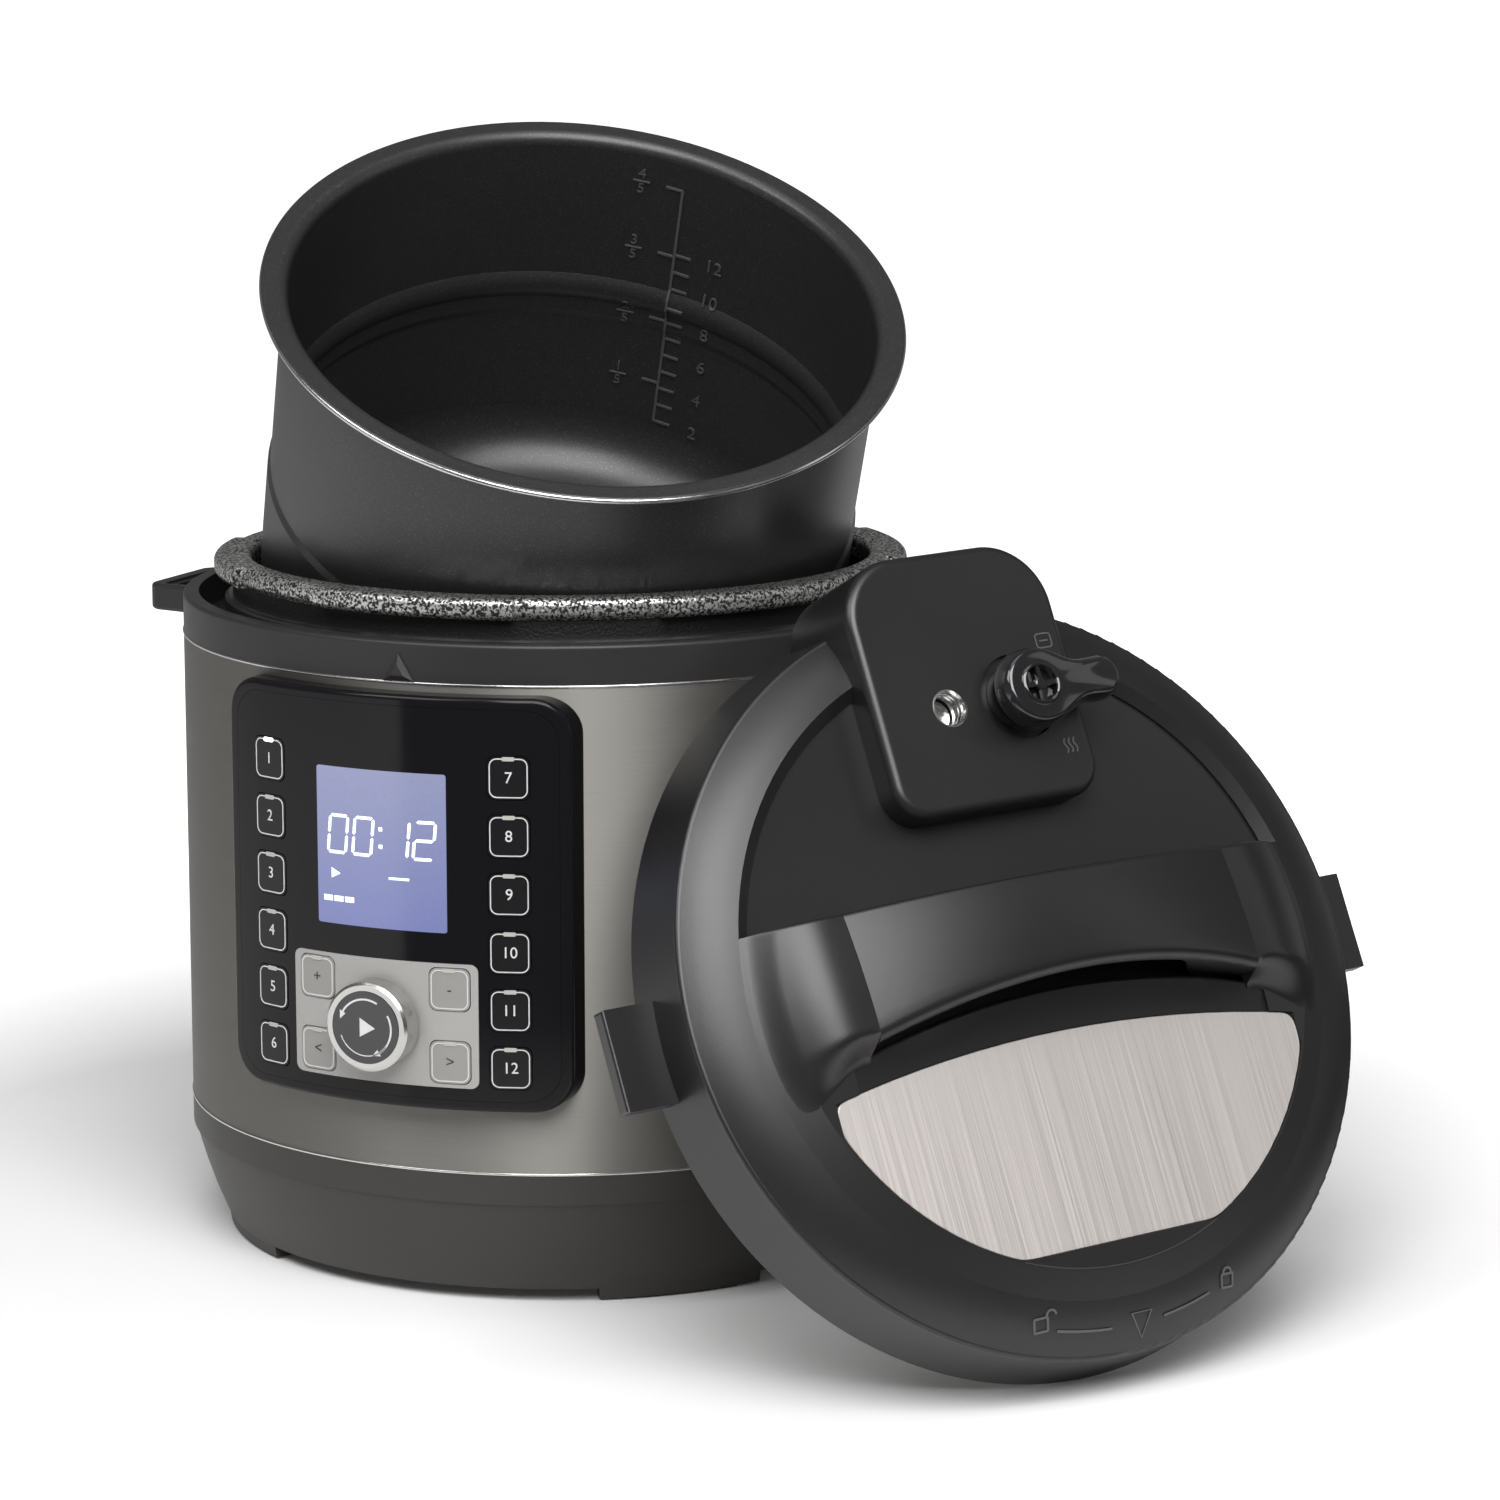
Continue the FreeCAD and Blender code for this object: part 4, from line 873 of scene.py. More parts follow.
FINISH_NODES: dict[str, str] = {
    "housing_satin": "lower_housing bottom_cover cup_rail dial_encoder",
    "foot_rubber": "rubber_feet",
    "bare_steel": "base_screws heating_element sensor_guide sensor_spring encoder_shaft inner_lid lid_screws "
                  "seal_rack steam_pipe",
    "band_steel": "steel_band",
    "collar_satin": "collar handle_right handle_left",
    "well_metal": "heating_well",
    "ring_hammertone": "bayonet_ring",
    "plate_metal": "heating_plate",
    "bright_metal": "temperature_sensor anti_block_shield float_valve",
    "board_green": "power_board switch_sheet",
    "panel_gloss": "power_inlet panel_bezel panel_face",
    "pin_brass": "inlet_pins",
    "cup_smoke": "condensation_cup",
    "screen_glow": "lcd_window",
    "plate_silver": "key_plate",
    "dial_steel": "dial_ring",
    "knob_gloss": "dial_cap steam_valve",
    "pot_coating": "inner_pot",
    "lid_satin": "lid_cover steam_box lid_fins",
    "grip_satin": "lid_handle",
    "label_steel": "label_plate",
    "seal_silicone": "sealing_ring float_seal",
}
NODE_FINISH = {node: finish for finish, nodes in FINISH_NODES.items() for node in nodes.split()}
KEY_FINISH = {"program": "key_gloss", "setting": "key_silver"}


def dress_nodes(nodes: dict[str, bpy.types.Object], finishes: dict[str, Material]) -> None:
    """Gives every node of the frame its finish.

    Args:
        nodes: The frame's nodes.
        finishes: Materials by name.
    """
    for name, node in nodes.items():
        finish = NODE_FINISH.get(name) or KEY_FINISH[name.split("_")[0]]
        if not node.material_slots:
            node.data.materials.append(finishes[finish])
        for place in node.material_slots:
            place.material = finishes[finish]
        log.info("%s wears %s", name, finish)


@dataclass
class Dresser:
    """Part of the cooker that adds pieces in its finishes."""

    finishes: dict[str, Material]

    def add(self, name: str, mesh: Mesh, finish: str, body: str, slot: str) -> bpy.types.Object:
        """Sets a finished mesh on a body.

        Args:
            name: Piece's name.
            mesh: Mesh in the row frame.
            finish: Name of its finish.
            body: Body that carries it.
            slot: The record's slot; not used.

        Returns:
            The new object.
        """
        mesh.name = name
        mesh.materials.clear()
        mesh.materials.append(self.finishes[finish])
        made = stand(name, mesh)
        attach(made, body)
        log.info("%s rides on %s with %d faces", name, body, len(mesh.polygons))
        return made


@dataclass
class ControlPanel(Dresser):
    """Printed and lit marks of the curved panel."""

    bars: BarRow
    face: float = 153.5 * MM
    key_arc: float = 49.3 * MM
    key_top: float = 200.8 * MM
    key_pitch: float = 21.35 * MM
    key_rows: int = 6
    key_rise: float = 0.3 * MM
    lit_key: str = "key_left_1"
    outline: Triple = mm(13.6, 14.0, 2.6)
    stroke: float = 0.4 * MM
    figure_height: float = 4.2 * MM
    lamp: Triple = mm(4.6, 1.5, 0.5)
    lamp_rise: float = 0.3 * MM
    grey_arc: float = 27.0 * MM
    grey_level: float = 109.0 * MM
    grey_half: float = 13.5 * MM
    grey_rise: float = 0.5 * MM
    screen_rise: float = 0.1 * MM
    digits: str = "0012"
    digit_places: tuple[float, ...] = mm(-17.0, -6.4, 8.0, 18.0)
    digit_level: float = 176.6 * MM
    digit_width: float = 7.6 * MM
    digit_height: float = 13.6 * MM
    digit_stroke: float = 1.15 * MM
    digit_gap: float = 0.25 * MM
    digit_slant: float = 0.09
    dot: Triple = mm(1.5, 1.5, 0.3)
    dot_place: float = 0.8 * MM
    dot_half: float = 3.2 * MM
    sign_level: float = 162.0 * MM
    pointer: Triple = mm(-20.0, -16.2, 1.9)
    dash: Point = mm(4.0, 12.0)
    dash_stroke: float = 0.9 * MM
    bar_count: int = 3
    bar_pitch: float = 4.6 * MM
    bar_size: Triple = mm(3.8, 2.0, 0.3)
    bar_start: Point = mm(-21.6, 152.6)
    dial_face: float = 165.8 * MM
    arrow_radius: float = 10.452 * MM
    arrows: Points = ((62.0, 150.0), (30.0, -58.0))
    arrow_stroke: float = 0.7 * MM
    arrow_tip: float = 16.0
    arrow_half: float = 1.3 * MM
    thin_span: Point = (200.0, 322.0)
    thin_stroke: float = 0.35 * MM
    start_mark: Points = (mm(-2.2, -3.52), mm(3.96, 0.0), mm(-2.2, 3.52))

    SEGMENTS: ClassVar[dict[str, str]] = {"0": "abcdef", "1": "bc", "2": "abged"}
    STROKES: ClassVar[dict[str, tuple[int, int, int]]] = {
        "a": (-1, 1, 0), "b": (1, 0, 1), "c": (1, -1, 1), "d": (-1, -1, 0),
        "e": (-1, -1, 1), "f": (-1, 0, 1), "g": (-1, 0, 0)}

    def on_face(self, rise: float) -> Place:
        """Surface at a height above the panel's face."""
        def place(u: float, v: float, lift: float) -> Vector:
            return polar(self.face + rise + lift, u / self.face - math.pi / 2, v)
        return place

    def key_spots(self) -> list[tuple[str, float, float, str]]:
        """Body, arc, level and mark of each key."""
        spots = []
        for row in range(self.key_rows):
            level = self.key_top - row * self.key_pitch
            spots.append((f"key_left_{row + 1}", -self.key_arc, level, str(row + 1)))
            spots.append((f"key_right_{row + 1}", self.key_arc, level, str(row + 1 + self.key_rows)))
        for row, side in enumerate((1, -1)):
            level = self.grey_level + side * self.grey_half
            spots.append((f"grey_key_left_{row + 1}", -self.grey_arc, level, "<" if row else "+"))
            spots.append((f"grey_key_right_{row + 1}", self.grey_arc, level, ">" if row else "-"))
        return spots

    def keys(self) -> None:
        """Prints an outline and a figure on each key and sets a lamp in its top edge."""
        for body, u, v, mark in self.key_spots():
            grey = body.startswith("grey")
            place = self.on_face(self.grey_rise if grey else self.key_rise)
            frame, figure, lamp = Relief(place), Relief(place), Relief(place, self.lamp_rise)
            frame.line(rounded(*self.outline, u, v), self.stroke, True)
            figure.text(mark, self.figure_height, u, v)
            lamp.patch(rounded(*self.lamp, u, v + self.outline[1] / 2))
            for part, marks, finish in (
                ("outline", frame, "key_print"),
                ("figure", figure, "dark_print" if grey else "key_print"),
                ("lamp", lamp, "lamp_on" if body == self.lit_key else "lamp_off"),
            ):
                self.add(f"{body}_{part}", marks.mesh(), finish, body, "key_grey" if grey else "key_black")

    def segment(self, name: str, u: float, v: float) -> list[Point]:
        """Outline of one stroke of a seven-stroke figure.

        Args:
            name: Stroke's letter, a to g.
            u: Middle of the figure across.
            v: Middle of the figure up.

        Returns:
            Points round the stroke.
        """
        left, foot, upright = self.STROKES[name]
        half_u, half_v = self.digit_width / 2, self.digit_height / 2
        near, thick = self.digit_gap, self.digit_stroke / 2
        far = (half_v if upright else self.digit_width) - near
        shape = []
        for along, side in ((near, 0), (near + thick, thick), (far - thick, thick), (far, 0),
                            (far - thick, -thick), (near + thick, -thick)):
            x, y = (side, along) if upright else (along, -side)
            x, y = left * half_u + x, foot * half_v + y
            shape.append((u + x + y * self.digit_slant, v + y))
        return shape

    def screen(self) -> None:
        """Lights the figures, the colon and the bars on the screen."""
        figures = Relief(self.on_face(0.0), self.screen_rise)
        for digit, u in zip(self.digits, self.digit_places):
            for name in self.SEGMENTS[digit]:
                figures.patch(self.segment(name, u, self.digit_level))
        for side in (1, -1):
            figures.patch(rounded(*self.dot, self.dot_place, self.digit_level + side * self.dot_half))
        foot, tip, half = self.pointer
        level = self.sign_level
        figures.patch([(foot, level - half), (tip, level), (foot, level + half)])
        figures.line([(u, level) for u in self.dash], self.dash_stroke)
        self.add("screen_figures", figures.mesh(), "screen_figures", "base", "screen_glass")
        mesh = self.bars.bake("screen_bars", self.bar_count, Vector((self.bar_pitch, 0, 0)),
                              Vector(self.bar_size), self.bar_start, self.on_face(0.0),
                              self.finishes["screen_figures"])
        self.add("screen_bars", mesh, "screen_figures", "base", "screen_glass")

    def dial(self) -> None:
        """Prints two turning arrows and a start mark on the dial."""
        def place(u: float, v: float, lift: float) -> Vector:
            return Vector((u, -self.dial_face - lift, self.grey_level + v))

        marks = Relief(place)
        ring = self.arrow_radius
        for start, end in self.arrows:
            marks.line(arc(ring, start, end), self.arrow_stroke)
            tip = end + math.copysign(self.arrow_tip, end - start)
            head = ((ring - self.arrow_half, end), (ring, tip), (ring + self.arrow_half, end))
            marks.patch([arc(reach, turn, turn, steps=1)[0] for reach, turn in head])
        marks.line(arc(ring, *self.thin_span), self.thin_stroke)
        marks.patch(self.start_mark)
        self.add("dial_marks", marks.mesh(), "key_print", "dial_knob", "gloss_black")

    def build(self) -> None:
        """Makes every mark of the panel."""
        self.keys()
        self.screen()
        self.dial()


@dataclass
class CookingPot(Dresser):
    """Scale, rim line and wall step of the leaning pot."""

    bars: BarRow
    frame: Matrix
    sides: int = 240
    inner_radius: float = 110.0 * MM
    belly: float = 1.0 * MM
    belly_top: float = 82.0 * MM
    belly_length: float = 3.0 * MM
    step_depth: float = 70.0 * MM
    step_length: float = 13.0 * MM
    step_rise: float = 2.2 * MM
    step_sink: float = 0.3 * MM
    step_back: float = 0.5 * MM
    step_parts: int = 16
    rim_middle: float = 119.75 * MM
    rim_depth: float = 1.452 * MM
    rim_bead: float = 1.15 * MM
    rim_sides: int = 14
    scale_turn: float = 58.2
    first_depth: float = 16.0 * MM
    cup_depth: float = 46.0 * MM
    last_depth: float = 128.0 * MM
    cups: int = 12
    parts: int = 5
    part_gaps: float = 3.6
    line_parts: int = 24
    line_stroke: float = 1.1 * MM
    tick_length: float = 7.0 * MM
    tick_stroke: float = 1.0 * MM
    figure_height: float = 5.6 * MM
    figure_side: float = 17.0 * MM
    part_share: float = 0.8
    part_half: float = 0.6
    part_stroke: float = 0.6 * MM
    rise: float = 0.55 * MM

    def on_wall(self, u: float, v: float, lift: float) -> Vector:
        """Point on the inner wall, from a length round it and a height against the rim."""
        below = min(max((-v - self.belly_top) / self.belly_length, 0.0), 1.0)
        turn = math.radians(self.scale_turn) - u / self.inner_radius
        reach = self.inner_radius + self.belly * below - self.swell(v) - lift
        return self.frame @ polar(reach, turn, v)

    def ticks(self, name: str, count: int, first: float, pitch: float, side: float) -> None:
        """Raises a row of ticks on one side of the scale's line.

        Args:
            name: The row's name.
            count: How many ticks it has.
            first: Depth of the first.
            pitch: Depth from one to the next.
            side: Left or right of the line, as -1 or 1.
        """
        size = Vector((self.tick_length, self.tick_stroke, 2 * self.rise))
        start = (side * self.tick_length / 2, -first)
        # The ticks wear the lighter coating, a painted highlight on their raised edges.
        mesh = self.bars.bake(name, count, Vector((0, -pitch, 0)), size, start, self.on_wall,
                              self.finishes["scale_coating"])
        self.add(name, mesh, "scale_coating", "pot", "coating")

    def scale(self) -> None:
        """Raises the scale's line, ticks and figures, with cups on the right and fifths on the left, in a
        lighter coating that is a painted highlight standing in for light on their raised edges.
        """
        marks = Relief(self.on_wall, self.rise)
        length = self.last_depth - self.first_depth
        line = [(0.0, v) for v in even(-self.first_depth, -self.last_depth, self.line_parts)]
        marks.line(line, self.line_stroke)
        cup = (self.last_depth - self.cup_depth) / (self.cups - 2)
        for row in range(0, self.cups - 1, 2):
            level = -self.cup_depth - row * cup
            marks.text(str(self.cups - row), self.figure_height, self.figure_side, level)
        fifth = length / self.part_gaps
        small = self.figure_height * self.part_share
        half = self.figure_height * self.part_half
        for row in range(self.parts - 1):
            level = -self.first_depth - row * fifth
            marks.text(str(self.parts - 1 - row), small, -self.figure_side, level + half)
            marks.text(str(self.parts), small, -self.figure_side, level - half)
            marks.line([(side * half - self.figure_side, level) for side in (-1, 1)], self.part_stroke)
        self.add("pot_scale", marks.mesh(), "scale_coating", "pot", "coating")
        self.ticks("cup_ticks", self.cups - 1, self.cup_depth, cup, 1.0)
        self.ticks("fifth_ticks", self.parts - 1, self.first_depth, fifth, -1.0)

    def rim(self) -> None:
        """Bares the metal along the rim's outer edge."""
        section = bead(self.rim_middle, -self.rim_depth, self.rim_bead, self.rim_bead, self.rim_sides)
        self.add("rim_line", lathe(section, self.sides, self.frame), "bright_metal", "pot", "bare_steel")

    def swell(self, level: float) -> float:
        """How far the wall stands in at a level of the pot."""
        away = min(abs(level + self.step_depth) / self.step_length, 0.5)
        return self.step_rise * math.cos(math.pi * away)

    def step(self) -> None:
        """Rounds the wall inwards above the belly."""
        half = self.step_length / 2
        levels = even(half - self.step_depth, -half - self.step_depth, self.step_parts)
        section = [(self.inner_radius + self.step_sink - self.swell(z), z) for z in levels]
        section += [(self.inner_radius + self.step_back, z) for z in (levels[-1], levels[0])]
        self.add("wall_step", lathe(section, self.sides, self.frame), "pot_coating", "pot", "coating")

    def build(self) -> None:
        """Makes the pot's marks, its bared rim and its step."""
        self.scale()
        self.rim()
        self.step()


@dataclass
class CookerLid(Dresser):
    """Moulded marks of the lid and of its steam box."""

    frame: Matrix
    box_top: float = 18.5 * MM
    shoulder: Points = (mm(118.0, 9.5), mm(127.6, 5.9), mm(135.8, 0.7))
    lock_mark: Point = mm(43.0, -120.5)
    open_mark: Point = mm(-37.0, -121.0)
    middle_mark: Point = mm(3.7, -128.5)
    seal_mark: Point = mm(34.0, 114.0)
    release_mark: Point = mm(33.0, 75.0)
    stroke: float = 0.8 * MM
    mould_rise: float = 0.5 * MM
    mould_sink: float = 0.4 * MM
    lock: Triple = mm(5.2, 4.42, 0.4)
    bow_radius: float = 1.82 * MM
    bow_rise: float = 2.47 * MM
    bow_swing: float = 4.16 * MM
    bow_parts: int = 10
    arrow_half: float = 4.2 * MM
    turn_spans: Points = ((-104.0, -94.0), (-84.0, -74.5))
    turn_parts: int = 12
    print_rise: float = 0.15 * MM
    print_stroke: float = 0.55 * MM
    seal: Triple = mm(6.4, 5.2, 1.2)
    seal_half: float = 1.8 * MM
    wave_gap: float = 2.0 * MM
    wave_swing: float = 0.6 * MM
    wave_turn: float = 1.1
    wave_step: float = 0.9 * MM
    wave_half: int = 3
    float_hole: Point = mm(-12.0, 95.0)
    sleeve: Points = ((6.3, 6.6), (6.95, 6.6), (6.95, 18.3), (6.5, 18.4), (5.9, 17.4), (5.9, 16.2),
                                 (6.3, 15.8), (5.9, 15.0), (5.9, 13.8), (6.3, 13.4), (5.9, 12.6), (5.9, 11.0))
    sleeve_sides: int = 72
    sleeve_crease: float = 30.0

    def shoulder_height(self, reach: float) -> float:
        """Height of the lid's shoulder at a distance from its axis."""
        total = 0.0
        for i, (ri, zi) in enumerate(self.shoulder):
            share = zi
            for k, (rk, _) in enumerate(self.shoulder):
                if k != i:
                    share *= (reach - rk) / (ri - rk)
            total += share
        return total

    def on_shoulder(self, u: float, v: float, lift: float) -> Vector:
        """Point on the shoulder, in the row frame."""
        return self.frame @ Vector((u, v, self.shoulder_height(math.hypot(u, v)) + lift))

    def on_box(self, u: float, v: float, lift: float) -> Vector:
        """Point on top of the steam box, in the row frame."""
        return self.frame @ Vector((u, v, self.box_top + lift))

    def padlock(self, marks: Relief, middle: Point, opened: bool) -> None:
        """Adds a small padlock.

        Args:
            marks: Relief to add to.
            middle: Where it stands.
            opened: True if its bow is swung out.
        """
        u, v = middle
        marks.line(rounded(*self.lock, u, v), self.stroke, True)
        shift = self.bow_swing if opened else 0.0
        marks.line(arc(self.bow_radius, 0, 180, u + shift, v + self.bow_rise, self.bow_parts), self.stroke)

    def front(self) -> None:
        """Raises the closing marks on the front of the shoulder."""
        marks = Relief(self.on_shoulder, self.mould_rise, self.mould_sink)
        self.padlock(marks, self.open_mark, True)
        self.padlock(marks, self.lock_mark, False)
        u, v = self.middle_mark
        half = self.arrow_half
        marks.line([(u - half, v + half), (u + half, v + half), (u, v - half)], self.stroke, True)
        for start, end in self.turn_spans:
            marks.line(arc(math.hypot(*self.lock_mark), start, end, steps=self.turn_parts), self.stroke)
        self.add("closing_marks", marks.mesh(), "lid_print", "lid", "lid_plastic")

    def box(self) -> None:
        """Prints the valve's two places on the steam box."""
        marks = Relief(self.on_box, self.print_rise)
        u, v = self.seal_mark
        marks.line(rounded(*self.seal, u, v), self.print_stroke, True)
        marks.line([(u - self.seal_half, v), (u + self.seal_half, v)], self.print_stroke)
        u, v = self.release_mark
        for column in (-1, 0, 1):
            wave = []
            for k in range(2 * self.wave_half + 1):
                swing = self.wave_swing * math.sin(k * self.wave_turn)
                wave.append((u + column * self.wave_gap + swing, v + (k - self.wave_half) * self.wave_step))
            marks.line(wave, self.print_stroke)
        self.add("valve_marks", marks.mesh(), "lid_print", "lid", "lid_plastic")

    def float_sleeve(self) -> None:
        """Lines the float's hole with a bright stepped sleeve."""
        axis = self.frame @ Matrix.Translation((*self.float_hole, 0.0)) @ Matrix.Scale(MM, 4)
        mesh = lathe(self.sleeve, self.sleeve_sides, axis)
        mesh.set_sharp_from_angle(angle=math.radians(self.sleeve_crease))
        self.add("float_sleeve", mesh, "bright_metal", "lid", "bare_steel")

    def build(self) -> None:
        """Makes the lid's marks and the float's sleeve."""
        self.front()
        self.box()
        self.float_sleeve()


@dataclass
class LidGrip(Dresser):
    """Grip bar with a bowed front edge that runs out into the lid, in millimetres of the lid's frame."""

    frame: Matrix
    half: float = 80.0
    trough_half: float = 86.9
    ridge: float = 29.15
    middle_front: float = -6.5
    end_front: float = -17.0
    top: float = 39.0
    end_top: float = 26.8
    fall: float = 3.5
    bulge: float = 0.8
    front_round: float = 4.5
    rear_round: float = 2.0
    lip_round: float = 0.8
    round_parts: int = 6
    bar_parts: int = 116
    crest_parts: int = 10
    skin: float = 5.5
    floor: float = 7.8
    floor_gap: float = 0.05
    back_wall: float = 16.0
    slot_level: float = 44.0
    slot_half: float = 66.0
    crown_radius: float = 108.0
    crown_edge: float = 13.5
    crown_top: float = 17.0
    bevel_radius: float = 118.0
    bevel_level: float = 9.5
    wing_reach: float = 117.0
    wing_tip: float = 116.8
    wing_front: float = -22.0
    wing_spread: float = 20.0
    wing_sink: float = 0.2
    wing_skin: float = 1.2
    wing_wall: float = 0.5
    wing_parts: int = 30
    wing_rows: int = 36
    rear_rows: int = 5
    flank: float = 0.165
    flank_gain: float = 0.25
    platform: float = 5.8
    lip_gap: float = 2.2
    lip_rise: float = 17.0
    lip_fall: float = 2.4
    lip_flat: float = 55.0
    lip_run: float = 32.0
    lip_curve: float = 1.5
    lip_edge: float = 1.2
    lip_bevel: float = 0.35
    lip_parts: int = 88
    lip_rows: int = 8
    plate_edge: float = -23.2
    plate_bow: float = 475.0
    plate_level: float = 12.9

    def put(self, x: float, section: Sequence[Point]) -> list[Vector]:
        """Places a section across the grip in the row frame."""
        return [self.frame @ Vector((x, y, z)) for y, z in section]

    def edge(self, x: float) -> float:
        """Place of the bar's front edge."""
        return self.middle_front + (self.end_front - self.middle_front) * min(abs(x) / self.half, 1.0) ** 2

    def crest(self, x: float, y: float) -> float:
        """Height of the bar's upper face."""
        front = self.end_top + (self.top - self.end_top) * (1 - min(abs(x) / self.half, 1.0) ** 2)
        rear_y = self.ridge - self.rear_round
        share = min(max((rear_y - y) / (rear_y - self.edge(x) - self.front_round), 0.0), 1.0)
        return front - self.fall * (1 - share) + 4 * self.bulge * share * (1 - share)

    def surface(self, x: float, y: float) -> float:
        """Height of the lid's crown and of the bevel round it."""
        reach = math.hypot(x, y)
        if reach <= self.crown_radius:
            return self.crown_top - (self.crown_top - self.crown_edge) * (reach / self.crown_radius) ** 2
        share = (reach - self.crown_radius) / (self.bevel_radius - self.crown_radius)
        return self.crown_edge + (self.bevel_level - self.crown_edge) * share

    def bar_section(self, x: float) -> list[Point]:
        """Section of the bar at a place across, with the finger slot under its front edge."""
        front_y, rear_y = self.edge(x), self.ridge - self.rear_round
        start_y = front_y + self.front_round
        front, rear = self.crest(x, front_y), self.crest(x, self.ridge)
        closing = ease((abs(x) - self.slot_level) / (self.slot_half - self.slot_level))
        under = front - self.skin
        under += (self.floor + self.floor_gap - under) * closing
        quarter = [(math.cos(t), math.sin(t)) for t in even(0.0, math.pi / 2, self.round_parts)]
        back, nose, lip = self.rear_round, self.front_round, self.lip_round
        section = [(rear_y + back * c, rear - back * (1 - s)) for c, s in quarter]
        section += [(y, self.crest(x, y)) for y in even(rear_y, start_y, self.crest_parts)[1:-1]]
        section += [(start_y - nose * s, front - nose * (1 - c)) for c, s in quarter]
        section += [(front_y + lip * (1 - c), under + lip * (1 - s)) for c, s in quarter]
        return section + [(self.back_wall, under), (self.back_wall, self.floor), (self.ridge, self.floor)]

    def bar(self) -> Mesh:
        """Bar with an arched finger slot under its front edge."""
        return loft([self.put(x, self.bar_section(x)) for x in even(-self.half, self.half, self.bar_parts)])

    def wing_height(self, x: float, y: float, start: float, flank: float) -> float:
        """Height of the run from the bar's end down to the lid's shoulder.

        Args:
            x: Distance across from the middle.
            y: Place along the lid.
            start: Where the wing leaves the lid at the front.
            flank: Share of the wing's depth that its front flank takes.

        Returns:
            The height.
        """
        base = self.surface(x, y)
        end = math.sqrt(self.wing_reach ** 2 - y ** 2)
        stay = 1 - ease((x - self.half) / (end - self.half)) ** 2
        stay *= ease((y - start) / (self.ridge - start) / flank)
        behind = max(self.rear_round - self.ridge + y, 0.0)
        drop = self.rear_round - math.sqrt(self.rear_round ** 2 - behind ** 2)
        return base + (self.crest(self.half, y) - drop - base) * stay - self.wing_sink * (1 - stay)

    def wing(self, side: int) -> Mesh:
        """One end of the grip, run smoothly into the shoulder."""
        rings = []
        rear_y, inside = self.ridge - self.rear_round, self.ridge - self.wing_wall
        for x in even(self.half, self.wing_tip, self.wing_parts):
            share = (x - self.half) / (self.wing_reach - self.half)
            start = self.wing_front - self.wing_spread * ease(share)
            flank = self.flank + self.flank_gain * share
            places = even(self.ridge, rear_y, self.rear_rows)[:-1] + even(rear_y, start, self.wing_rows)
            section = [(y, self.wing_height(x, y, start, flank)) for y in places]
            section += [(y, self.surface(x, y) - self.wing_skin) for y in (start, inside)]
            section += [(inside, self.platform), (self.ridge, self.platform)]
            rings.append(self.put(side * x, section))
        return loft(rings)

    def lip(self) -> Mesh:
        """Slope between the steel plate and the finger slot."""
        rings = []
        for x in even(-self.trough_half, self.trough_half, self.lip_parts):
            start = self.plate_edge - self.plate_bow + math.sqrt(self.plate_bow ** 2 - x ** 2)
            end = self.edge(x) - self.lip_gap
            rim = self.lip_rise - self.lip_fall * ease((abs(x) - self.lip_flat) / self.lip_run)
            section = [(start, self.floor), (start, self.plate_level)]
            for share in even(0.0, 1.0, self.lip_rows)[1:]:
                section.append((start + (end - self.lip_edge - start) * share,
                                self.plate_level + (rim - self.plate_level) * share ** self.lip_curve))
            section += [(end - self.lip_bevel, rim - self.lip_bevel), (end, rim - self.lip_edge),
                        (end, self.floor)]
            rings.append(self.put(x, section))
        return loft(rings)

    def build(self) -> None:
        """Makes the grip, its two ends and the slot's lip."""
        grip = gather([self.bar(), self.wing(-1), self.wing(1)])
        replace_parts(self.add("grip_bar", grip, "grip_satin", "lid", "lid_plastic"), "lid_handle")
        self.add("slot_lip", gather([self.lip()]), "lid_satin", "lid", "lid_plastic")


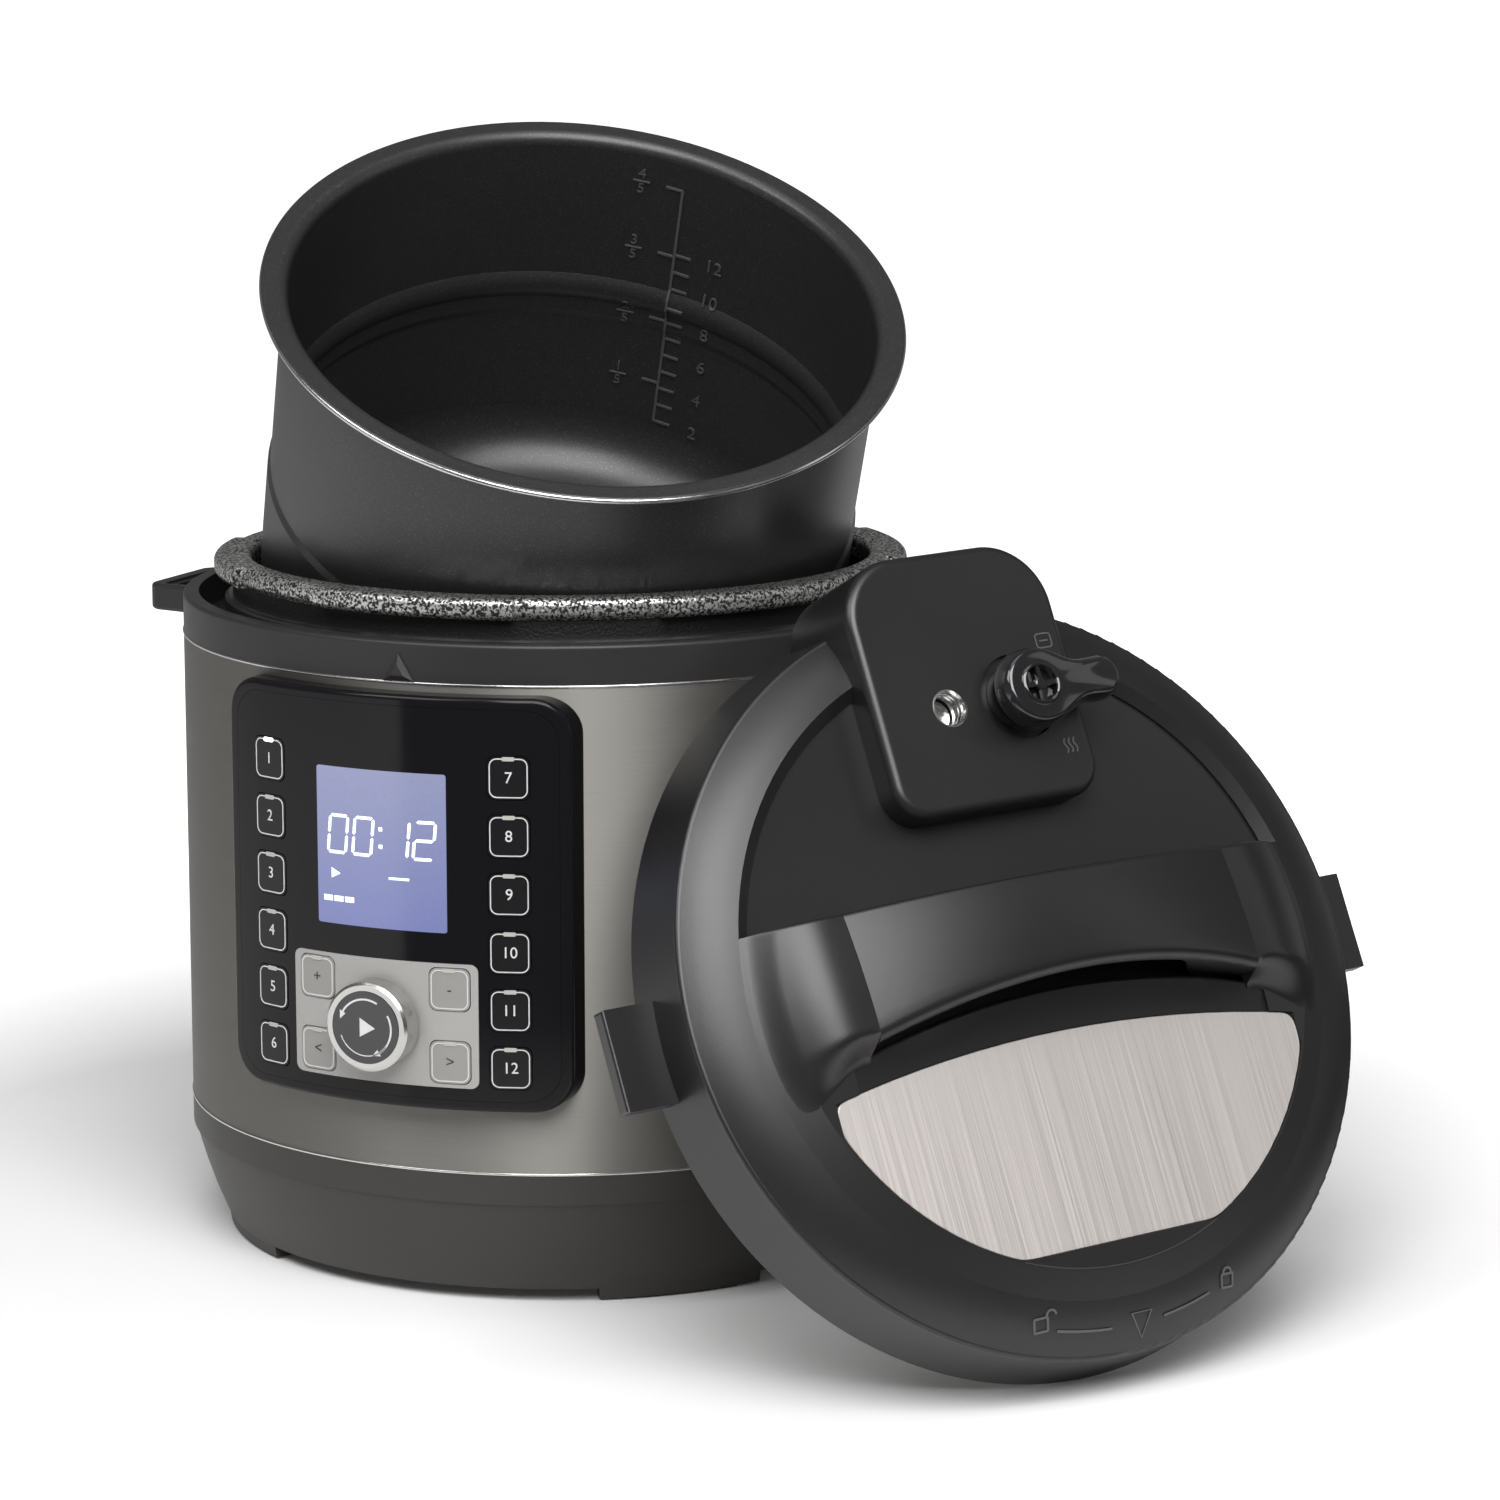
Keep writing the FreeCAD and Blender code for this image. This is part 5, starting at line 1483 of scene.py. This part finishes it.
@dataclass
class LabelPlate(Dresser):
    """Bare steel plate with round corners, in millimetres of the lid's frame."""

    frame: Matrix
    circle: float = 107.0
    half_width: float = 97.0
    chord: float = -99.0
    back: float = -23.5
    back_side: float = -33.5
    side_parts: int = 9
    back_parts: int = 16
    corner: float = 5.0
    corner_share: float = 0.48
    corner_parts: int = 6
    level: float = 12.6
    thickness: float = 0.8
    bevel: float = 0.25
    seam_level: float = 13.55
    seam_rise: float = 0.06
    seam_sink: float = 0.2
    seam_gap: float = 0.4
    seam_stroke: float = 0.45

    def foot_turn(self) -> float:
        """Angle at which the plate's straight foot meets its circle, in degrees."""
        return math.degrees(math.atan2(self.chord, math.sqrt(self.circle ** 2 - self.chord ** 2)))

    def outline(self) -> list[Point]:
        """Points round the plate, with its six corners rounded."""
        side = math.sqrt(self.circle ** 2 - self.half_width ** 2)
        high = math.degrees(math.atan2(-side, self.half_width))
        right = arc(self.circle, self.foot_turn(), high, steps=self.side_parts)
        rise = self.back - self.back_side
        bow = (self.half_width ** 2 + rise ** 2) / (2 * rise)
        across = even(self.half_width, -self.half_width, self.back_parts)
        top = [(x, self.back - bow + math.sqrt(bow ** 2 - x ** 2)) for x in across]
        runs = (right, top, [(-x, y) for x, y in reversed(right)])
        path = [point for run in runs for point in run]
        corners = [i == 0 or i == len(run) - 1 for run in runs for i in range(len(run))]
        points = []
        for i, middle in enumerate(Vector(p) for p in path):
            if not corners[i]:
                points.append(middle)
                continue
            ways = [Vector(path[k]) - middle for k in (i - 1, (i + 1) % len(path))]
            reach = min(self.corner, *(way.length * self.corner_share for way in ways))
            first, last = (middle + way.normalized() * reach for way in ways)
            for t in even(0.0, 1.0, self.corner_parts):
                points.append(first.lerp(middle, t).lerp(middle.lerp(last, t), t))
        return [(p.x, p.y) for p in points]

    def build(self) -> None:
        """Makes the plate and the thin seam below it."""
        outline = self.outline()
        inner = []
        for i, point in enumerate(outline):
            run = Vector(outline[(i + 1) % len(outline)]) - Vector(outline[i - 1])
            side = Vector((-run.y, run.x)).normalized() * self.bevel
            inner.append((point[0] + side.x, point[1] + side.y))
        high = self.level + self.thickness
        layers = ((outline, self.level), (outline, high - self.bevel), (inner, high))
        plate = loft([[self.frame @ Vector((x, y, z)) for x, y in layer] for layer, z in layers])
        made = self.add("steel_plate", gather([plate]), "label_steel", "lid", "label_steel")
        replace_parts(made, "label_plate")

        def place(u: float, v: float, lift: float) -> Vector:
            return self.frame @ Vector((u, v, self.seam_level + lift))

        seam = Relief(place, self.seam_rise, self.seam_sink)
        foot = self.foot_turn()
        seam.line(arc(self.circle + self.seam_gap, -180 - foot, foot), self.seam_stroke)
        self.add("plate_seam", seam.mesh(), "dark_print", "lid", "lid_plastic")


@dataclass
class ValveKnob(Dresser):
    """Steam valve's knob, a cap that runs out into a lever, in millimetres of the lid's frame."""

    frame: Matrix
    centre: Point = (17.5, 95.3)
    radius: float = 14.6
    lever_reach: float = 35.0
    neck: float = 7.2
    tip: float = 8.4
    blend: float = 10.0
    bore: float = 6.0
    skirt: float = 12.0
    skirt_bottom: float = 16.3
    skirt_top: float = 25.9
    cap_bottom: float = 25.6
    roof: float = 30.0
    rings: Points = ((3.0, 25.6), (0.9, 25.6), (0.2, 26.2), (0.0, 27.2), (0.2, 29.0), (0.7, 31.2),
                                (1.5, 33.0), (2.1, 33.8), (2.9, 34.25))
    vent: Points = ((8.0, 34.2), (7.5, 34.8), (6.9, 35.0), (6.4, 34.7), (6.2, 31.2))
    spokes: int = 4
    spoke_reach: float = 6.4
    spoke_width: float = 1.7
    spoke_level: Point = (32.4, 34.2)
    hub: Points = ((2.4, 32.4), (2.4, 34.2), (1.9, 34.6))
    sides: int = 120
    halvings: int = 30

    def depth(self, x: float, y: float) -> float:
        """Distance from a place to the cap's outline, below zero inside it."""
        cap = math.hypot(x, y) - self.radius
        end = self.lever_reach - self.tip
        along = min(max(x, 0.0), end)
        arm = math.hypot(x - along, y) - self.neck - (self.tip - self.neck) * (along / end) ** 3
        near = max(self.blend - abs(cap - arm), 0.0) / self.blend
        return min(cap, arm) - near * near * self.blend / 4

    def ring(self, inset: float, level: float) -> list[Vector]:
        """The cap's outline, moved inwards, at a height."""
        points = []
        for turn in once_round(self.sides):
            low, high = 0.0, 2 * self.lever_reach
            for _ in range(self.halvings):
                middle = (low + high) / 2
                if self.depth(middle * math.cos(turn), middle * math.sin(turn)) < -inset:
                    low = middle
                else:
                    high = middle
            points.append(polar(low, turn, level))
        return points

    def circle(self, radius: float, level: float) -> list[Vector]:
        """A plain ring about the valve's axis."""
        return [polar(radius, turn, level) for turn in once_round(self.sides)]

    def build(self) -> None:
        """Makes the cap, its skirt and the spokes of its vent as one piece."""
        axis = self.frame @ Matrix.Translation((*self.centre, 0.0))
        layers = [self.circle(self.bore, self.roof), self.circle(self.bore, self.cap_bottom)]
        layers += [self.ring(inset, level) for inset, level in self.rings]
        layers += [self.circle(radius, level) for radius, level in self.vent]
        section = [(self.bore, self.skirt_bottom), (self.skirt, self.skirt_bottom),
                   (self.skirt, self.skirt_top), (self.bore, self.skirt_top)]
        parts = [loft([[axis @ p for p in layer] for layer in layers]), lathe(section, self.sides, axis)]
        half = self.spoke_width / 2
        corners = ((0.0, -half), (self.spoke_reach, -half), (self.spoke_reach, half), (0.0, half))
        for turn in once_round(self.spokes):
            spoke = axis @ Matrix.Rotation(turn, 4, "Z")
            parts.append(loft([[spoke @ Vector((x, y, z)) for x, y in corners] for z in self.spoke_level]))
        parts.append(loft([[axis @ p for p in self.circle(radius, z)] for radius, z in self.hub]))
        made = self.add("valve_knob", gather(parts), "knob_gloss", "valve", "gloss_black")
        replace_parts(made, "steam_valve")


@dataclass
class CookerBase(Dresser):
    """Rolled edges of the steel band, in a brighter metal than the band as a painted highlight, and the arrow
    over its front.
    """

    radius: float = 145.0 * MM
    top: float = 233.0 * MM
    bottom: float = 51.5 * MM
    roll: float = 0.55 * MM
    roll_share: float = 0.7
    roll_sides: int = 10
    band_sides: int = 260
    mark_turn: float = 1.8
    mark_half: float = 6.2 * MM
    mark_height: float = 10.3 * MM
    mark_foot: float = 0.55 * MM
    mark_rise: float = 1.1 * MM
    mark_flat: float = 0.4
    mark_crease: float = 10.0

    def mark(self) -> None:
        """Bevels the arrow on the collar."""
        middle = self.mark_height / 3
        rings = []
        for share, lift in ((1.0, 0.0), (self.mark_flat, self.mark_rise)):
            ring = []
            for x, z in ((-self.mark_half, 0.0), (self.mark_half, 0.0), (0.0, self.mark_height)):
                turn = math.radians(self.mark_turn - 90) + x * share / self.radius
                level = self.top + middle + (z - middle) * share
                ring.append(polar(self.radius + self.mark_foot + lift, turn, level))
            rings.append(ring)
        mesh = gather([loft(rings)], self.mark_crease)
        self.add("collar_mark", mesh, "collar_satin", "base", "housing_plastic")

    def build(self) -> None:
        """Rolls the band's upper and lower edges in a brighter metal, a painted highlight along them, and
        sets the arrow on the collar.
        """
        self.mark()
        edges = (("band_top_roll", self.top - self.roll), ("band_bottom_roll", self.bottom + self.roll))
        for name, level in edges:
            section = bead(self.radius, level, self.roll * self.roll_share, self.roll, self.roll_sides)
            mesh = lathe(section, self.band_sides, Matrix.Identity(4))
            # The rolls are real edges, but their metal, brighter than the band's, is a painted highlight.
            self.add(name, mesh, "bright_metal", "base", "steel")


@dataclass
class SensorCoil(Dresser):
    """Spring under the sensor's cap, made at one length though the real one shortens as the sensor is
    pressed.
    """

    radius: float = 7.0 * MM
    wire: float = 0.7 * MM
    travel: float = 4.05 * MM
    coils: int = 5
    coil_sides: int = 36
    wire_sides: int = 10
    crease: float = 60.0

    def build(self) -> None:
        """Winds the coil from its foot to its top."""
        low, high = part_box("sensor_spring")
        foot, length = low.z, high.z - low.z
        steps = self.coils * self.coil_sides
        rings = []
        for i in range(steps + 1):
            out = polar(1.0, 2 * math.pi * i / self.coil_sides)
            middle = out * self.radius + UP * (foot + self.wire + (length - 2 * self.wire) * i / steps)
            rings.append([middle + (out * math.cos(t) + UP * math.sin(t)) * self.wire
                          for t in once_round(self.wire_sides)])
        made = self.add("sensor_coil", gather([loft(rings)], self.crease), "bare_steel", "base", "bare_steel")
        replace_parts(made, "sensor_spring")
        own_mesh(made)


@dataclass
class Studio:
    """Floor, light and camera."""

    yaw: float = 23.5
    pitch: float = 10.624
    camera_place: Vector = field(default_factory=lambda: Vector((826.6, -1718.8, 539.9)) * MM)
    lens: float = 120.0
    sensor: float = 36.0
    floor_half: float = 40.0
    floor_white: float = 0.86
    ambient: float = 0.15
    ceiling: float = 0.1
    ceiling_span: Point = (0.1, 0.3)
    mirrored: float = 0.12
    near_glow: float = 0.02
    far_glow: float = 1.0
    glow_span: Point = (0.3, 0.7)
    dark_side: Vector = field(default_factory=lambda: Vector((0.936, -0.353, 0.0)))
    dark_edge: float = 0.0644
    dark_blur: float = 0.01
    dark_share: float = 0.93
    dark_span: Point = (0.4, 0.6)
    aim: Vector = field(default_factory=lambda: Vector((0.05, 0, 0.22)))

    LAMPS: ClassVar[tuple[tuple[str, Triple, Point, float], ...]] = (
        ("left_box", (-1.1, -0.9, 1.6), (0.9, 0.9), 11.0),
        ("front_box", (0.2, -1.45, 1.6), (1.4, 1.5), 48.0),
        ("right_box", (1.5, -0.3, 0.8), (0.4, 1.4), 1.0),
        ("top_box", (0.1, -0.35, 2.0), (1.4, 0.7), 4.0),
    )

    def floor(self) -> None:
        """Lays a pale floor that fades into the background and mirrors dark on its far right."""
        half = self.floor_half
        corners = [(-half, -half, 0), (half, -half, 0), (half, half, 0), (-half, half, 0)]
        mesh = skin(corners, [(0, 1, 2, 3)])
        canvas = Canvas("floor_white")
        distance = canvas.node("ShaderNodeVectorMath", operation="LENGTH")
        canvas.feed(distance.inputs[0], canvas.coords)
        reach = distance.outputs["Value"]
        rays = canvas.node("ShaderNodeLightPath").outputs
        clear = canvas.math("MAXIMUM", rays["Is Camera Ray"], rays["Is Transmission Ray"])
        seen = canvas.math("MAXIMUM", clear, canvas.times(rays["Is Glossy Ray"], self.mirrored))
        glow = canvas.span(reach, *self.glow_span, self.near_glow, self.far_glow)
        low, high = self.dark_edge - self.dark_blur, self.dark_edge + self.dark_blur
        side = canvas.span(canvas.axis(self.dark_side), low, high, 0.0, self.dark_share)
        side = canvas.times(side, canvas.span(reach, *self.dark_span, 0.0, 1.0))
        kept = canvas.math("SUBTRACT", 1.0, canvas.times(side, rays["Is Glossy Ray"]))
        canvas.set(
            Base_Color=canvas.mix(kept, (0.0,) * 3, (self.floor_white,) * 3),
            Roughness=0.9,
            Specular_IOR_Level=0.1,
            Emission_Color=(1.0, 1.0, 1.0),
            Emission_Strength=canvas.times(glow, canvas.times(seen, kept)),
        )
        mesh.materials.append(canvas.material)
        stand("floor", mesh)

    def world(self) -> None:
        """Shows white behind the object, under a dim ceiling, and lights it more softly."""
        canvas = Canvas("studio", True)
        canvas.set(Color=(1.0, 1.0, 1.0), Strength=self.ambient)
        white = canvas.node("ShaderNodeBackground")
        fall = canvas.span(canvas.axis(UP), *self.ceiling_span, 1.0, self.ceiling)
        canvas.feed(white.inputs["Strength"], fall)
        rays = canvas.node("ShaderNodeLightPath").outputs
        below = canvas.surface.outputs[0]
        shares = {"Is Camera Ray": 1.0, "Is Glossy Ray": self.mirrored, "Is Transmission Ray": 1.0}
        for ray, share in shares.items():
            mix = canvas.node("ShaderNodeMixShader")
            for socket, source in zip(mix.inputs, (canvas.times(rays[ray], share), below, white.outputs[0])):
                canvas.feed(socket, source)
            below = mix.outputs[0]
        canvas.feed(canvas.tree.nodes["World Output"].inputs["Surface"], below)
        bpy.context.scene.world = canvas.material

    def lamps(self) -> None:
        """Hangs the soft boxes, placed as the camera sees them: right, away and up."""
        turn = Matrix.Rotation(math.radians(self.yaw), 3, "Z")
        for name, place, size, power in self.LAMPS:
            light = bpy.data.lights.new(name, "AREA")
            light.shape = "RECTANGLE"
            light.size, light.size_y = size
            light.energy = power
            made = stand(name, light)
            made.location = turn @ Vector(place)
            made.rotation_euler = (turn @ (self.aim - Vector(place))).to_track_quat("-Z", "Y").to_euler()

    def camera(self) -> None:
        """Sets the camera at the photograph's angle."""
        lens = bpy.data.cameras.new("camera")
        lens.lens = self.lens
        lens.sensor_width = self.sensor
        made = stand("camera", lens)
        made.location = self.camera_place
        made.rotation_euler = Euler((math.radians(90 - self.pitch), 0, math.radians(self.yaw)))
        bpy.context.scene.camera = made

    def build(self) -> None:
        """Makes the whole stage."""
        bpy.context.scene.view_settings.view_transform = "Standard"
        self.floor()
        self.world()
        self.lamps()
        self.camera()


@dataclass(frozen=True)
class Resting:
    """Where the lid and the pot rest, as turned frames."""

    lid_centre: Point = mm(232.4, -110.1)
    lid_rim: float = 140.0 * MM
    lid_skirt: float = 28.3 * MM
    lid_azimuth: float = -35.9
    lid_elevation: float = 25.9
    lid_spin: float = 2.5
    pot_azimuth: float = -52.8
    pot_tilt: float = 30.2
    rim_band: float = 0.01 * MM

    def lid(self) -> Matrix:
        """Frame of the lid, with its origin on the skirt's top circle."""
        lean = math.radians(self.lid_elevation)
        height = self.lid_rim * math.cos(lean) + self.lid_skirt * math.sin(lean)
        turn = (Matrix.Rotation(math.radians(self.lid_azimuth + 90), 4, "Z")
                @ Matrix.Rotation(math.radians(90 - self.lid_elevation), 4, "X")
                @ Matrix.Rotation(math.radians(self.lid_spin), 4, "Z"))
        return Matrix.Translation((*self.lid_centre, height)) @ turn

    def pot(self, node: bpy.types.Object) -> Matrix:
        """Frame of the pot, with its origin in the middle of its rim.

        Args:
            node: The pot's node, which gives the rim's place.

        Returns:
            The turned frame.
        """
        turn = (Matrix.Rotation(math.radians(self.pot_azimuth + 90), 4, "Z")
                @ Matrix.Rotation(math.radians(self.pot_tilt), 4, "X"))
        axis = Vector(turn.col[2][:3])
        points = [v.co for v in node.data.vertices]
        top = max(p.dot(axis) for p in points)
        rim = [p for p in points if p.dot(axis) > top - self.rim_band]
        sides = []
        for column in (0, 1):
            across = Vector(turn.col[column][:3])
            reach = [p.dot(across) for p in rim]
            sides.append(across * (min(reach) + max(reach)) / 2)
        return Matrix.Translation(sides[0] + sides[1] + axis * top) @ turn


def main() -> None:
    """Loads the frame, dresses it and sets the stage."""
    logging.basicConfig(level=logging.INFO, format="%(name)s: %(message)s")
    for thing in list(bpy.data.objects):
        bpy.data.objects.remove(thing)
    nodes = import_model()["nodes"]
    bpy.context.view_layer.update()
    resting = Resting()
    lid_frame = resting.lid()
    pot_frame = resting.pot(nodes["inner_pot"])
    dial_low, dial_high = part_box("dial_ring")
    screen_low, screen_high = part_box("lcd_window")
    finishes = Palette(lid_frame, (dial_low + dial_high) / 2, screen_low.z, screen_high.z).build()
    dress_nodes(nodes, finishes)
    bars = BarRow()
    CookerBase(finishes).build()
    SensorCoil(finishes).build()
    ControlPanel(finishes, bars).build()
    CookingPot(finishes, bars, pot_frame).build()
    CookerLid(finishes, lid_frame).build()
    lid_millimetres = lid_frame @ Matrix.Scale(MM, 4)
    for piece in (LidGrip, LabelPlate, ValveKnob):
        piece(finishes, lid_millimetres).build()
    Studio().build()


if __name__ == "__main__":
    main()
